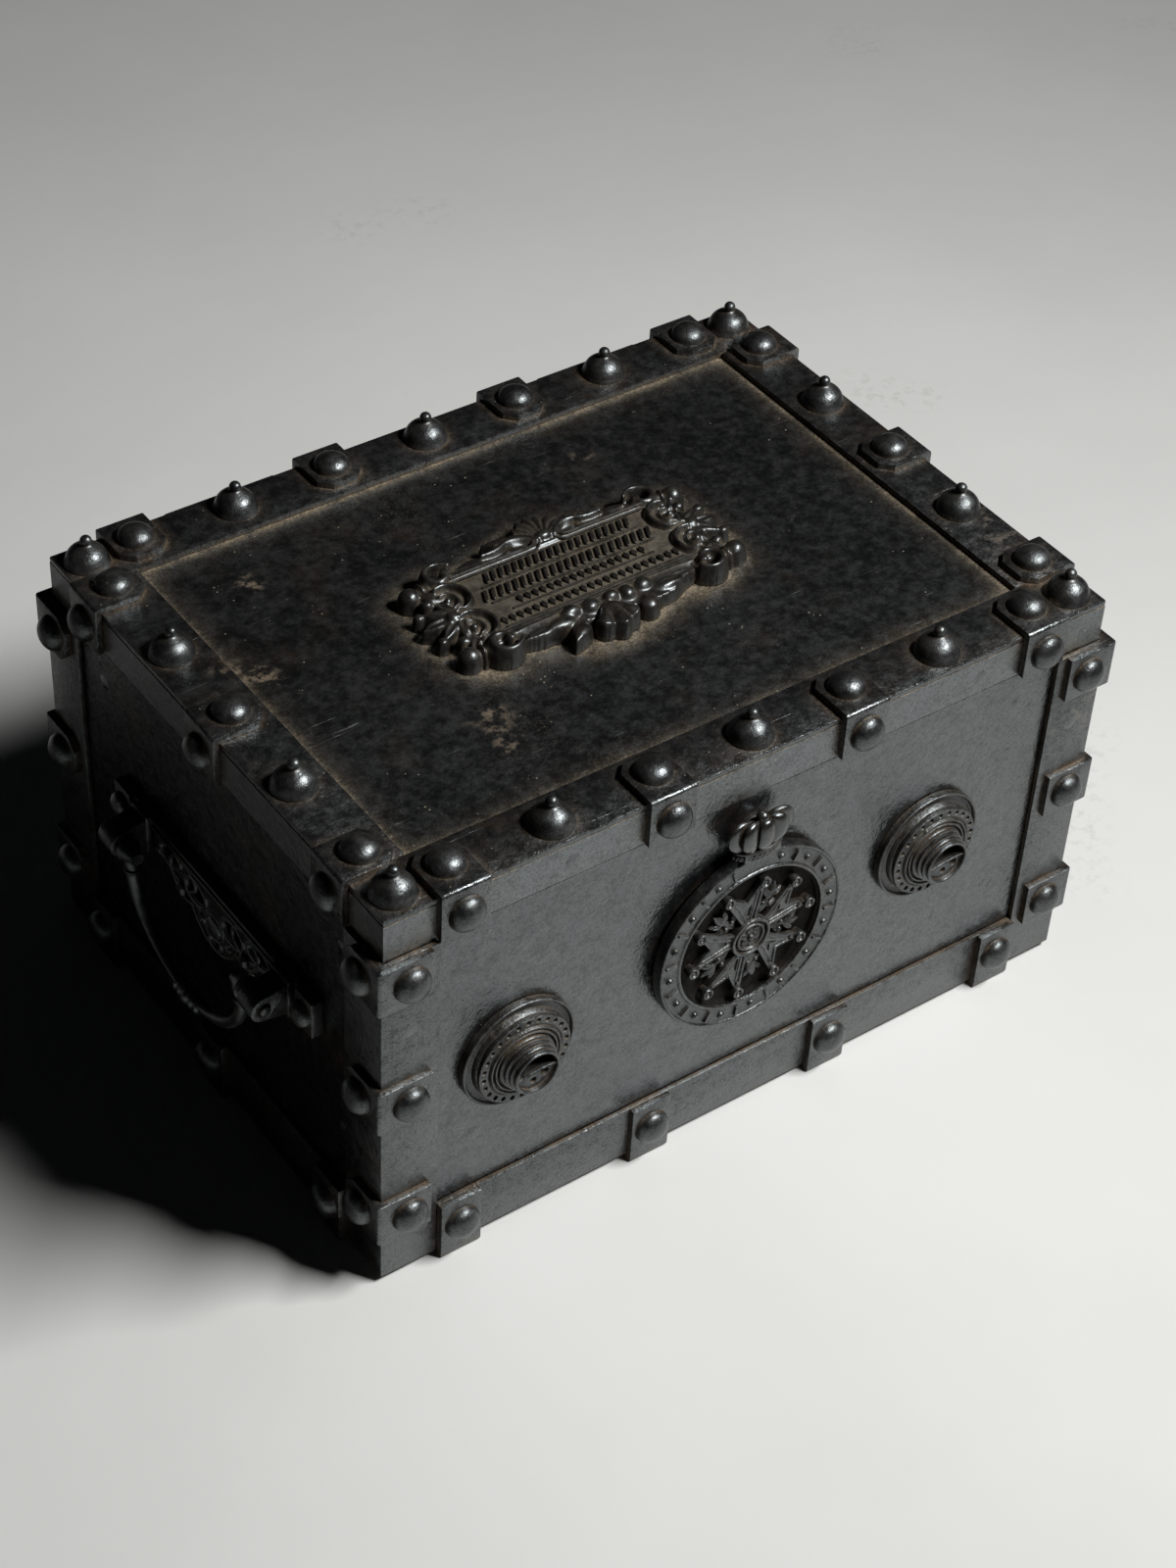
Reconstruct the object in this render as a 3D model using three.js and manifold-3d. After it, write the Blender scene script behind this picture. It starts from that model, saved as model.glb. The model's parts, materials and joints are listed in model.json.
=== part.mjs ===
// Riveted iron strongbox with a hinged lid, after French portable fire chests of the late 19th century.
// Millimetres, +Z up, the front looks along -Y, and the box stands on the folded clips of its bottom bars.
import * as THREE from "three";
import { mergeVertices } from "three/addons/utils/BufferGeometryUtils.js";
import Module from "manifold-3d";

const wasm = await Module();
wasm.setup();

// Driving sizes of the box
const boxWidth = 400;
const boxDepth = 289;
const bodyHeight = 200;
const lidHeight = 22.5;
const plate = 3; // thickness of the outer plates
const gap = 0.3; // clearance between pieces that lie against each other
const lidGap = 0.5; // clearance of the closed lid over the body
const facetSize = 0.01; // detail smaller than this is dropped from the facets

// Frame iron and the folded clips that are riveted over it
const barThick = 2.5;
const lidBarWidth = 30;
const lidBarThick = 3;
const angleLeg = 30;
const bottomBarHeight = 31;
const bottomBarFoot = 24;
const clipThick = 3.5;
const clipLong = 26; // leg over the lid or along the front of a corner angle
const clipWide = 25;
const clipChamfer = 6;
const clipSeat = 0.4; // depth to which a clip beds into the iron that carries it
const bend = 1.4; // flat taken off the outside of each fold
const bottomClipWide = 22;
const bottomClipFoot = 22;
const rivetRadius = 9;
const rivetHeight = 6.8;
const rivetInset = 13; // from the wrapped edge to a rivet's centre
const finialRadius = 11.2;
const finialHeight = 15;
const finialBead = 3.1;
const longBays = 3; // stud spacings from the middle of a long side to its end clip
const shortBays = 2;
const clipRows = 3; // clips up each corner angle
const clipRise = 27.2; // lower edge of the lowest of them above the foot of the angle

// Walls and lining
const wallFill = 20;
const frontFill = 28; // the front wall is thicker, because it holds the lock
const liner = 2;
const floorFill = 20;
const lidStep = 6; // the lid's inner plate reaches this far into the lining
const lidStepClear = 2;
const innerPlate = 2.5;

// Hinges, each in the middle between two clips of the back
const hingeLength = 60;
const knuckleRadius = 5;
const knuckleLength = 16;
const hingePinRadius = 2.4;
const leafThick = 2.5;
const leafHeight = 19;
const hingePinHead = 3.6;

// Lock
const lockX = -5;
const lockWide = 150;
const lockHigh = 116;
const lockDeep = 19;
const lockWall = 2;
const boltHigh = 7; // height of the fingers that enter the staples
const boltBar = 4.5;
const boltThick = 6;
const boltFinger = 18;
const boltBack = 2.5; // distance from the withdrawn fingers to the staples
const boltPost = 5;
const stapleInset = 30; // from each end of the lock case to a lid staple
const stapleWide = 14;
const stapleThick = 4;
const stapleWeb = 2.5;
const eyeClear = 1;
const slotClear = 1.5;
const railHigh = 4;
const keyholeRadius = 4.6;
const keySlotWide = 4.4;
const keySlotLong = 13;
const keyDrop = 18; // keyhole below the middle of its cover, so that the swung cover clears it
const escutcheonThick = 1.2;
const escutcheonWide = 19;
const escutcheonHigh = 29;
const escutcheonDrop = 3; // its middle below the keyhole's

// Dial knobs, one lower and further out than the other as on the real front
const leftDialInset = 69; // from the left side of the box
const rightDialClear = 17; // from the lock case to the wheel of the right dial
const leftDialDrop = 91; // below the seam of the lid
const rightDialDrop = 83;
const rosetteRadius = 30;
const rosetteThick = 5.5;
const dialRadius = 24.5;
const dialThick = 2.2;
const dialClear = 0.8;
const dialHollow = 0.6; // depth of the dial's face inside its ridge
const dialBand = 5; // flat band round the dial, outside its ridge
const gripHeight = 10.5;
const gripRadius = 13.5;
const gripLobes = 6;
const spindleRadius = 4;
const wheelRadius = 17;
const wheelThick = 7;
const wheelNotch = 5;

// Keyhole cover: an openwork medallion that hangs from a pivot under a fluted bulb
const coverX = lockX;
const coverDrop = 83; // middle of the medallion below the seam of the lid
const coverOuter = 52;
const coverInner = 40.2;
const coverThick = 6;
const coverFloor = 1.6;
const coverBack = 2.2; // stands this far off the front plate, over the keyhole escutcheon
const starArms = 5;
const starTurn = 0.17; // the star leans a little, as it is cast
const starBall = 3;
const starBoss = 11;
const starReach = 32; // along an arm to the line of its two balls
const starSplay = 10.4; // from the middle of an arm out to each of them
const starNotch = 7; // depth of the notch between them
const starLeafLong = 18;
const starLeafBow = 8;
const coverEye = 3; // thickness of the eye round the pivot
const bulbRadius = 19;
const bulbHigh = 18;
const bulbDeep = 10;
const bulbLobes = 9;
const bulbFoot = 4.2;
const bulbFootWide = 21;
const bulbBandWide = 25; // band round the foot
const bulbBead = 3;
const pivotRise = 64; // from the medallion's centre up to its pivot
const pivotRadius = 3;
const pivotSink = 2.6; // depth of the pivot in the bulb

// Cartouche on the lid
const plaqueWide = 116;
const plaqueDeep = 45;
const plaqueThick = 3;
const plaqueEdge = 4; // flat border outside the rule of the panel
const plaqueX = -2;
const plaqueY = -3;
const scrollRadius = 8.5;
const scrollBand = 4.2;
const scrollHigh = 7.5;
const scrollOut = 6; // from the panel's end in to a scroll's centre
const scrollRise = 8; // and up from its long edge
const beadRadius = 4.6;
const beadOut = 13; // a corner ball stands this far beyond the panel's end
const stalkRise = 11; // height of a scroll's stem above the long edge
const shellRadius = 17;
const sprayReach = 17; // of the leaves at the short ends
const sprayHeart = 8;
const bandReach = 15; // of the leaves along the long edges
const bandX = 27; // from the middle of the plaque
const shellRibs = 5;

// Bail handles on the two sides
const handleY = -8;
const handleDrop = 76; // the bail's pivots below the seam of the lid
const strapLong = 88; // half its length
const strapRise = 11; // above the bail's pivots
const strapFoot = 9; // below them, at the ends
const strapDrop = 30; // below them, in the middle
const strapThick = 4;
const strapBlock = 14; // length of the block under each end rivet
const strapRail = 1.2; // height of the two rails along the top
const strapRivet = 7;
const strapRivetHigh = 5.4;
const strapRailWide = 2.4;
const strapStud = 6;
const strapBossHigh = 2.6;
const lugY = 57; // inner face of each lug from the middle of the handle
const lugWide = 13;
const lugOut = 19; // the bail's axis stands this far off the side plate
const lugRadius = 7;
const bailRadius = 3.4;
const bailDrop = 51;
const bailInset = 6; // from the lugs in to the middle of the bail's ends
const bailPinRadius = 2.9;
const bailPinClear = 0.35;
const bailKnop = 6;
const bailKnopLong = 20;

// Levels and planes that follow from the sizes above
const halfWidth = boxWidth / 2;
const halfDepth = boxDepth / 2;
const baseZ = clipThick; // underside of the bottom bars and corner angles
const floorZ = baseZ + barThick + gap; // underside of the bottom plate
const seamZ = baseZ + bodyHeight;
const rimZ = seamZ - lidGap;
const lidTopZ = seamZ + lidHeight;
const panelZ = lidTopZ - lidBarThick;
const shellTopZ = panelZ - gap;
const insideX = halfWidth - plate - gap;
const insideY = halfDepth - plate - gap;
const liningX = insideX - wallFill - gap;
const liningBack = insideY - wallFill - gap;
const liningFront = insideY - frontFill - gap;
const liningZ = floorZ + plate + gap + floorFill + gap;
const flangeZ = rimZ - liner;
const hingeY = halfDepth + gap + knuckleRadius + 0.8;
const lockBackY = -insideY + lockDeep;
const lockTopZ = flangeZ - gap;
const fingerZ = lockTopZ - lockWall - boltBar - boltHigh;
const stapleLow = fingerZ - eyeClear - stapleWeb;
const boltZ = stapleLow - eyeClear - boltBar;
const boltY = lockBackY - lockWall - slotClear - stapleWide / 2;
const coverZ = seamZ - coverDrop;
const keyZ = coverZ - keyDrop;
const handleZ = seamZ - handleDrop;
const stapleX = lockWide / 2 - stapleInset;
const endClip = (half) => half - angleLeg + barThick - gap - bottomClipWide / 2; // just clears the corner angle
const hingeX = (endClip(halfWidth) * (longBays - 1)) / longBays;
const dials = [
  { name: "left", x: leftDialInset - halfWidth, z: seamZ - leftDialDrop },
  { name: "right", x: lockX + lockWide / 2 + rightDialClear + wheelRadius, z: seamZ - rightDialDrop },
];

// Materials
const iron = new THREE.MeshStandardMaterial({ color: 0x232427, roughness: 0.5, metalness: 0.85 });
const panelIron = new THREE.MeshStandardMaterial({ color: 0x2b2d31, roughness: 0.6, metalness: 0.8 });
const castIron = new THREE.MeshStandardMaterial({ color: 0x1f2022, roughness: 0.42, metalness: 0.85 });
const steel = new THREE.MeshStandardMaterial({ color: 0x8b8d90, roughness: 0.4, metalness: 0.95 });
const brass = new THREE.MeshStandardMaterial({ color: 0x9c7a3c, roughness: 0.4, metalness: 0.9 });
const lining = new THREE.MeshStandardMaterial({ color: 0x6e5b3f, roughness: 0.6, metalness: 0.3 });
const plaster = new THREE.MeshStandardMaterial({ color: 0xb3a78f, roughness: 0.95, metalness: 0 });

// A closed geometry as a solid that can be joined and cut
function solid(geometry) {
  const bare = new THREE.BufferGeometry().setAttribute("position", geometry.getAttribute("position").clone());
  if (geometry.index) bare.setIndex(geometry.index.clone());
  const merged = mergeVertices(bare, 1e-4);
  const vertProperties = new Float32Array(merged.attributes.position.array);
  const triVerts = new Uint32Array(merged.index.array);
  return new wasm.Manifold(new wasm.Mesh({ numProp: 3, vertProperties, triVerts }));
}

function geometryOf(body) {
  const { numProp, vertProperties, triVerts } = body.simplify(facetSize).getMesh();
  const positions = new Float32Array((vertProperties.length / numProp) * 3);
  for (let i = 0; i * numProp < vertProperties.length; i += 1) {
    positions.set(vertProperties.subarray(i * numProp, i * numProp + 3), i * 3);
  }
  const geometry = new THREE.BufferGeometry();
  geometry.setAttribute("position", new THREE.BufferAttribute(positions, 3));
  geometry.setIndex(new THREE.BufferAttribute(triVerts, 1));
  return geometry;
}

function piece(name, body, material) {
  const mesh = new THREE.Mesh(geometryOf(body), material);
  mesh.geometry.computeVertexNormals();
  mesh.name = name;
  return mesh;
}

const join = (bodies) => bodies.reduce((whole, body) => whole.add(body));
const move = (x, y, z) => new THREE.Matrix4().makeTranslation(x, y, z);
const turnX = (angle) => new THREE.Matrix4().makeRotationX(angle);
const turnY = (angle) => new THREE.Matrix4().makeRotationY(angle);
const turnZ = (angle) => new THREE.Matrix4().makeRotationZ(angle);
const placed = (body, matrix) => body.transform(matrix.elements);
const quarter = Math.PI / 2;

// A block between two limits on each axis
function block(x, y, z) {
  const geometry = new THREE.BoxGeometry(x[1] - x[0], y[1] - y[0], z[1] - z[0]);
  geometry.translate((x[0] + x[1]) / 2, (y[0] + y[1]) / 2, (z[0] + z[1]) / 2);
  return solid(geometry);
}

// An outline in XY raised by height along +Z
function raised(shape, height, curveSegments = 6) {
  return solid(new THREE.ExtrudeGeometry(shape, { depth: height, bevelEnabled: false, curveSegments }));
}

// A profile of [radius, height] points turned about the Z axis
function turned(profile, segments) {
  const points = profile.map(([radius, height]) => new THREE.Vector2(radius, height));
  const geometry = new THREE.LatheGeometry(points, segments);
  geometry.rotateX(quarter);
  return solid(geometry);
}

function polygon(points) {
  return new THREE.Shape(points.map(([x, y]) => new THREE.Vector2(x, y)));
}

function disc(radius, height, segments = 24) {
  return turned([[0, 0], [radius, 0], [radius, height], [0, height]], segments);
}

// Round-headed rivet: its face sits at z = 0 and its shank sinks a little into the plate that carries it
function rivet(radius = rivetRadius, height = rivetHeight) {
  const sink = 0.6;
  return turned([[0, -sink], [radius, -sink], [radius * 0.8, height * 0.66], [0, height]], 8);
}

// Onion finial with a bead on its tip
function finial() {
  const sink = 0.6;
  const neck = 1.7;
  const beadZ = finialHeight - finialBead;
  const swell = [[finialRadius, -sink], [finialRadius * 0.93, beadZ * 0.36], [finialRadius * 0.55, beadZ * 0.66]];
  const bead = [[neck, beadZ - finialBead * 0.8], [finialBead, beadZ + 0.6]];
  return turned([[0, -sink], ...swell, ...bead, [0, finialHeight]], 8);
}

// Folded clip over an edge that runs along X at the origin, with one face up (+Z) and one forward (-Y).
// Its long leg lies on the upper face and its short leg hangs down the forward face, with a rivet on each.
// Each leg beds into the face that it lies on, but a leg that only hangs in front of a face has no seat.
function clip({ width, long, short, longRivet, shortRivet, shortSeat = clipSeat, longHead = true }) {
  const profile = polygon([[shortSeat, -clipSeat], [long, -clipSeat], [long, clipThick],
    [bend - clipThick, clipThick], [-clipThick, clipThick - bend], [-clipThick, -short], [shortSeat, -short]]);
  const fold = new THREE.ExtrudeGeometry(profile, { depth: width, bevelEnabled: false });
  // the profile's x becomes depth (+Y), its y becomes height (+Z), and the extrusion runs along X
  fold.applyMatrix4(new THREE.Matrix4().set(0, 0, 1, -width / 2, 1, 0, 0, 0, 0, 1, 0, 0, 0, 0, 0, 1));
  const half = width / 2;
  const far = clipThick + 1;
  const cut = clipChamfer;
  const plan = polygon([[-half, -far], [half, -far], [half, long - cut], [half - cut, long], [cut - half, long],
    [-half, long - cut]]);
  const above = raised(plan, short + far + clipThick);
  let body = solid(fold).intersect(placed(above, move(0, 0, -short - 1)));
  if (longHead) body = body.add(placed(rivet(), move(0, longRivet, clipThick)));
  return body.add(placed(rivet(), move(0, -clipThick, -shortRivet).multiply(turnX(quarter))));
}

const lidClip = () =>
  clip({ width: clipWide, long: clipLong, short: lidHeight, shortSeat: 0, longRivet: rivetInset,
    shortRivet: lidHeight / 2 });
const cornerClip = () => {
  const leg = clipLong - clipThick + barThick;
  return clip({ width: clipWide, long: leg, short: leg, longRivet: rivetInset, shortRivet: rivetInset });
};
const bottomClip = () =>
  clip({ width: bottomClipWide, long: bottomClipFoot, short: bottomBarHeight + gap, longHead: false,
    longRivet: rivetInset, shortRivet: bottomBarHeight / 2 + 1 });

// A side with its clips and finials, which alternate from its end clips inward
function sideOf(name, turn, half, reach, bays) {
  const clips = [];
  const finials = [];
  for (let step = -bays; step <= bays; step += 1) {
    const places = (bays - step) % 2 === 0 ? clips : finials;
    places.push((step * endClip(half)) / bays);
  }
  return { name, turn, half, reach, clips, finials, long: bays === longBays };
}

const sides = [
  sideOf("front", 0, halfWidth, halfDepth, longBays),
  sideOf("right", quarter, halfDepth, halfWidth, shortBays),
  sideOf("back", 2 * quarter, halfWidth, halfDepth, longBays),
  sideOf("left", -quarter, halfDepth, halfWidth, shortBays),
];

// A flat bar along X with its outer upper edge taken off, outer face at y = -reach
function lidBar(side) {
  const inner = side.long ? side.half : side.half - lidBarWidth - gap;
  const edge = 0.8;
  const back = lidBarWidth - side.reach;
  const section = polygon([[-side.reach, -lidBarThick], [-side.reach, -edge], [edge - side.reach, 0],
    [back - edge, 0], [back, -edge], [back, -lidBarThick]]);
  const bar = new THREE.ExtrudeGeometry(section, { depth: 2 * inner, bevelEnabled: false });
  bar.applyMatrix4(new THREE.Matrix4().set(0, 0, 1, -inner, 1, 0, 0, 0, 0, 1, 0, lidTopZ, 0, 0, 0, 1));
  const parts = [solid(bar)];
  for (const x of side.clips) parts.push(placed(lidClip(), move(x, -side.reach - gap, lidTopZ)));
  for (const x of side.finials) parts.push(placed(finial(), move(x, rivetInset - side.reach, lidTopZ)));
  if (side.long) {
    for (const end of [-1, 1]) {
      parts.push(placed(finial(), move(end * (side.half - rivetInset), rivetInset - side.reach, lidTopZ)));
    }
  }
  let body = join(parts);
  if (!side.long) {
    // the end clips reach over the neighbouring bars, so they stand clear of them
    for (const end of [-1, 1]) {
      const ends = [inner, side.half + 1].map((v) => end * v).sort((a, b) => a - b);
      body = body.subtract(block(ends, [-side.reach, 0], [lidTopZ - lidHeight, lidTopZ + gap]));
    }
  }
  return placed(body, turnZ(side.turn));
}

// Angle iron along a bottom edge, its foot under the bottom plate, with clips folded round it from below
function bottomBar(side) {
  const length = 2 * (side.half - angleLeg + barThick - gap);
  const face = side.reach + gap;
  const section = polygon([[-face - barThick, 0], [bottomBarFoot - face - barThick, 0],
    [bottomBarFoot - face - barThick, barThick], [-face, barThick], [-face, bottomBarHeight],
    [1 - face - barThick, bottomBarHeight], [-face - barThick, bottomBarHeight - 1]]);
  const bar = new THREE.ExtrudeGeometry(section, { depth: length, bevelEnabled: false });
  bar.applyMatrix4(new THREE.Matrix4().set(0, 0, 1, -length / 2, 1, 0, 0, 0, 0, 1, 0, baseZ, 0, 0, 0, 1));
  const parts = [solid(bar)];
  const upsideDown = turnX(2 * quarter).multiply(turnZ(2 * quarter));
  for (const x of side.clips) {
    parts.push(placed(bottomClip(), move(x, -face - barThick, baseZ).multiply(upsideDown)));
  }
  return placed(join(parts), turnZ(side.turn));
}

// Angle iron up a corner with its clips, for the front right corner before it is turned into place
function cornerAngle(signX, signY) {
  const outerX = halfWidth + gap + barThick;
  const outerY = halfDepth + gap + barThick;
  const section = new THREE.Shape();
  section.moveTo(0, 0);
  section.lineTo(angleLeg - 0.6, 0);
  section.lineTo(angleLeg, 0.6);
  section.lineTo(angleLeg, barThick);
  section.lineTo(barThick, barThick);
  section.lineTo(barThick, angleLeg);
  section.lineTo(0.6, angleLeg);
  section.lineTo(0, angleLeg - 0.6);
  const height = rimZ - baseZ - gap;
  const parts = [raised(section, height)];
  const top = height - clipWide / 2;
  const rowPitch = (height - clipWide - clipRise) / (clipRows - 1);
  // the clip's edge runs along Z here: its upper face turns to look along -X and its forward face along -Y
  const upright = turnY(-quarter);
  for (let row = 0; row < clipRows; row += 1) {
    parts.push(placed(cornerClip(), move(0, 0, top - row * rowPitch).multiply(upright)));
  }
  const body = placed(join(parts), move(-outerX, -outerY, baseZ));
  const flip = new THREE.Matrix4().makeScale(-signX, -signY, 1);
  return placed(body, flip);
}

// Keyhole outline, round above and slotted below, as a cutter along Y
function keyhole(depth) {
  const shape = new THREE.Shape();
  const half = keySlotWide / 2;
  const meet = Math.asin(half / keyholeRadius);
  shape.absarc(0, 0, keyholeRadius, -quarter + meet, 3 * quarter - meet, false);
  shape.lineTo(-half, -keySlotLong);
  shape.lineTo(half, -keySlotLong);
  const cutter = raised(shape, depth, 5);
  return placed(cutter, turnX(quarter));
}

function frontPlate() {
  let body = block([-halfWidth, halfWidth], [-halfDepth, plate - halfDepth], [floorZ, rimZ]);
  body = body.subtract(placed(keyhole(3 * plate), move(lockX, 2 * plate - halfDepth, keyZ)));
  const bore = disc(spindleRadius + gap, 3 * plate, 8);
  for (const dial of dials) {
    body = body.subtract(placed(bore, move(dial.x, 2 * plate - halfDepth, dial.z).multiply(turnX(quarter))));
  }
  return body;
}

function outerPlates() {
  const sideY = halfDepth - plate - gap;
  const side = block([-plate, 0], [-sideY, sideY], [floorZ, rimZ]);
  return [
    piece("front_plate", frontPlate(), panelIron),
    piece("back_plate", block([-halfWidth, halfWidth], [halfDepth - plate, halfDepth], [floorZ, rimZ]), panelIron),
    piece("right_plate", placed(side, move(halfWidth, 0, 0)), panelIron),
    piece("left_plate", placed(side, move(plate - halfWidth, 0, 0)), panelIron),
    piece("bottom_plate", block([-insideX, insideX], [-sideY, sideY], [floorZ, floorZ + plate]), iron),
  ];
}

// Sheet lining: an open-topped box whose flange covers the filling, slotted for the lid's staples
function innerBox() {
  const outer = block([-liningX, liningX], [-liningFront, liningBack], [liningZ, rimZ]);
  const flange = block([-insideX, insideX], [-insideY, insideY], [flangeZ, rimZ]);
  const hollow = block([liner - liningX, liningX - liner], [liner - liningFront, liningBack - liner],
    [liningZ + liner, rimZ + 1]);
  let body = outer.add(flange).subtract(hollow);
  for (const x of stapleXs()) body = body.subtract(stapleSlot(x));
  return body;
}

const stapleXs = () => [lockX - stapleX, lockX + stapleX];

function stapleSlot(x) {
  const halfThick = stapleThick / 2 + slotClear;
  const halfWide = stapleWide / 2 + slotClear;
  const z = [lockTopZ - 2 * lockWall, seamZ];
  return block([x - halfThick, x + halfThick], [boltY - halfWide, boltY + halfWide], z);
}

// Fire-resisting filling between the plates and the lining, with pockets for the lock and the dial wheels
function filling() {
  const low = floorZ + plate + gap;
  let body = block([-insideX, insideX], [-insideY, insideY], [low, flangeZ - gap]);
  body = body.subtract(block([-liningX - gap, liningX + gap], [-liningFront - gap, liningBack + gap],
    [liningZ - gap, flangeZ]));
  body = body.subtract(block([lockX - lockWide / 2 - gap, lockX + lockWide / 2 + gap],
    [-insideY - 1, lockBackY + gap], [lockTopZ - lockHigh - gap, flangeZ]));
  const pocket = disc(wheelRadius + 2, lockDeep, 8);
  for (const dial of dials) {
    body = body.subtract(placed(pocket, move(dial.x, lockBackY, dial.z).multiply(turnX(quarter))));
  }
  return body;
}

// Tray of the lock, open towards the front plate, with slots above for the staples and a rail for the bolt
function lockCase() {
  const x = [lockX - lockWide / 2, lockX + lockWide / 2];
  const z = [lockTopZ - lockHigh, lockTopZ - gap];
  let body = block(x, [-insideY, lockBackY], z);
  body = body.subtract(block([x[0] + lockWall, x[1] - lockWall], [-insideY - 1, lockBackY - lockWall],
    [z[0] + lockWall, z[1] - lockWall]));
  for (const place of stapleXs()) body = body.subtract(stapleSlot(place));
  const rail = block([x[0] + 1, x[1] - 1], [boltY - boltThick / 2, lockBackY - 1],
    [boltZ - gap - railHigh, boltZ - gap]);
  const post = placed(disc(2.6, lockDeep - 4, 6), move(lockX, lockBackY - 1, keyZ).multiply(turnX(quarter)));
  return body.add(rail).add(post);
}

// Sliding bolt: a bar on the rail with two posts, whose fingers enter the eyes of the lid's staples
function lockBolt() {
  const y = [boltY - boltThick / 2, boltY + boltThick / 2];
  const starts = stapleXs().map((x) => x - stapleThick / 2 - boltBack - boltFinger);
  const bar = block([starts[0], starts[1] + boltFinger], y, [boltZ, boltZ + boltBar]);
  const posts = starts.map((x) => block([x, x + boltPost], y, [boltZ, fingerZ + boltHigh]));
  const fingers = starts.map((x) => {
    const chamfer = 1;
    const tip = x + boltFinger;
    const outline = polygon([[x, fingerZ], [tip - chamfer, fingerZ], [tip, fingerZ + chamfer],
      [tip, fingerZ + boltHigh - chamfer], [tip - chamfer, fingerZ + boltHigh], [x, fingerZ + boltHigh]]);
    return placed(raised(outline, boltThick), move(0, y[1], 0).multiply(turnX(quarter)));
  });
  return join([bar, ...posts, ...fingers]);
}

function escutcheon() {
  const outline = new THREE.Shape();
  outline.absellipse(0, -escutcheonDrop, escutcheonWide / 2, escutcheonHigh / 2, 0, 2 * Math.PI, false);
  const oval = placed(raised(outline, escutcheonThick, 6), turnX(quarter));
  return placed(oval.subtract(placed(keyhole(4 * escutcheonThick), move(0, escutcheonThick, 0))),
    move(lockX, -halfDepth - gap, keyZ));
}

// Lid: a pan of plate, its filling, the plate that closes it from below and the staples for the bolt
function lidShell() {
  const pan = block([-halfWidth, halfWidth], [-halfDepth, halfDepth], [seamZ, shellTopZ]);
  return pan.subtract(block([plate - halfWidth, halfWidth - plate], [plate - halfDepth, halfDepth - plate],
    [seamZ - 1, shellTopZ - plate]));
}

function lidFilling() {
  return block([-insideX, insideX], [-insideY, insideY], [seamZ + innerPlate + gap, shellTopZ - plate - gap]);
}

function lidInnerPlate() {
  const x = liningX - liner - lidStepClear;
  const front = liningFront - liner - lidStepClear;
  const back = liningBack - liner - lidStepClear;
  const edge = 2;
  const closing = block([-insideX, insideX], [-insideY, insideY], [seamZ, seamZ + innerPlate]);
  const step = raised(polygon([[edge - x, -front], [x - edge, -front], [x, edge - front], [x, back - edge],
    [x - edge, back], [edge - x, back], [-x, back - edge], [-x, edge - front]]), lidStep);
  const hollow = block([6 - x, x - 6], [6 - front, back - 6], [seamZ - lidStep - 1, seamZ]);
  return closing.add(placed(step, move(0, 0, seamZ - lidStep)).subtract(hollow));
}

function staple(x) {
  const half = stapleWide / 2;
  const top = seamZ - gap - stapleLow;
  const shape = new THREE.Shape();
  shape.moveTo(-half, top);
  shape.lineTo(-half, stapleWeb);
  shape.absarc(stapleWeb - half, stapleWeb, stapleWeb, 2 * quarter, 3 * quarter, false);
  shape.absarc(half - stapleWeb, stapleWeb, stapleWeb, 3 * quarter, 4 * quarter, false);
  shape.lineTo(half, top);
  const eye = half - stapleWeb;
  const eyeTop = stapleWeb + boltHigh + 2 * eyeClear;
  shape.holes.push(polygon([[-eye, stapleWeb], [-eye, eyeTop], [eye, eyeTop], [eye, stapleWeb]]));
  // the outline's x runs along Y, its y up Z, and the thickness along X
  const side = x - stapleThick / 2;
  const stand = new THREE.Matrix4().set(0, 0, 1, side, 1, 0, 0, boltY, 0, 1, 0, stapleLow, 0, 0, 0, 1);
  return placed(raised(shape, stapleThick, 3), stand);
}

// Hinge: the body's leaf carries the two outer knuckles and the lid's leaf the middle one
function hingeLeaf(x, ofLid) {
  const half = hingeLength / 2;
  const y = [halfDepth + gap, halfDepth + gap + leafThick];
  const upDown = ofLid ? 1 : -1;
  const reach = leafHeight + 1.5;
  const notch = knuckleRadius - 0.2;
  const span = (low, high) => [low, high].map((v) => seamZ + upDown * v).sort((a, b) => a - b);
  const leaf = block([-half, half], y, span(notch, reach));
  const parts = [leaf];
  const inner = half - knuckleLength;
  const spans = ofLid ? [[gap - inner, inner - gap]] : [[-half, -inner], [inner, half]];
  for (const [from, to] of spans) {
    const barrel = placed(disc(knuckleRadius, to - from, 8), turnY(quarter));
    parts.push(placed(barrel, move(from, hingeY, seamZ)));
    parts.push(block([from, to], y, span(1.2, notch + 1)));
  }
  let body = join(parts);
  const bore = placed(disc(hingePinRadius + gap, hingeLength + 2, 8), turnY(quarter));
  body = body.subtract(placed(bore, move(-half - 1, hingeY, seamZ)));
  return placed(body, move(x, 0, 0));
}

function hingePin(x) {
  const half = hingeLength / 2;
  const r = hingePinRadius;
  const head = hingePinHead;
  const end = half + gap;
  const pin = turned([[0, -end - head], [head, -end - 0.8], [head, -end], [r, -end], [r, end], [head, end],
    [head, end + 0.8], [0, end + head]], 6);
  return placed(pin, move(x, hingeY, seamZ).multiply(turnY(quarter)));
}

// Dial knobs
const facing = (x, z, y) => move(x, y, z).multiply(turnX(quarter)); // turned work that looks forward

function rosette(dial) {
  const r = rosetteRadius;
  const t = rosetteThick;
  const body = turned([[spindleRadius + gap, 0], [r, 0], [r, t * 0.7], [r - 1.6, t * 0.7], [r - 2.2, t * 0.35],
    [r - 5.2, t * 0.45], [r - 6.2, t], [spindleRadius + gap, t], [spindleRadius + gap, 0]], 16);
  return placed(body, facing(dial.x, dial.z, -halfDepth - gap));
}

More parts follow.
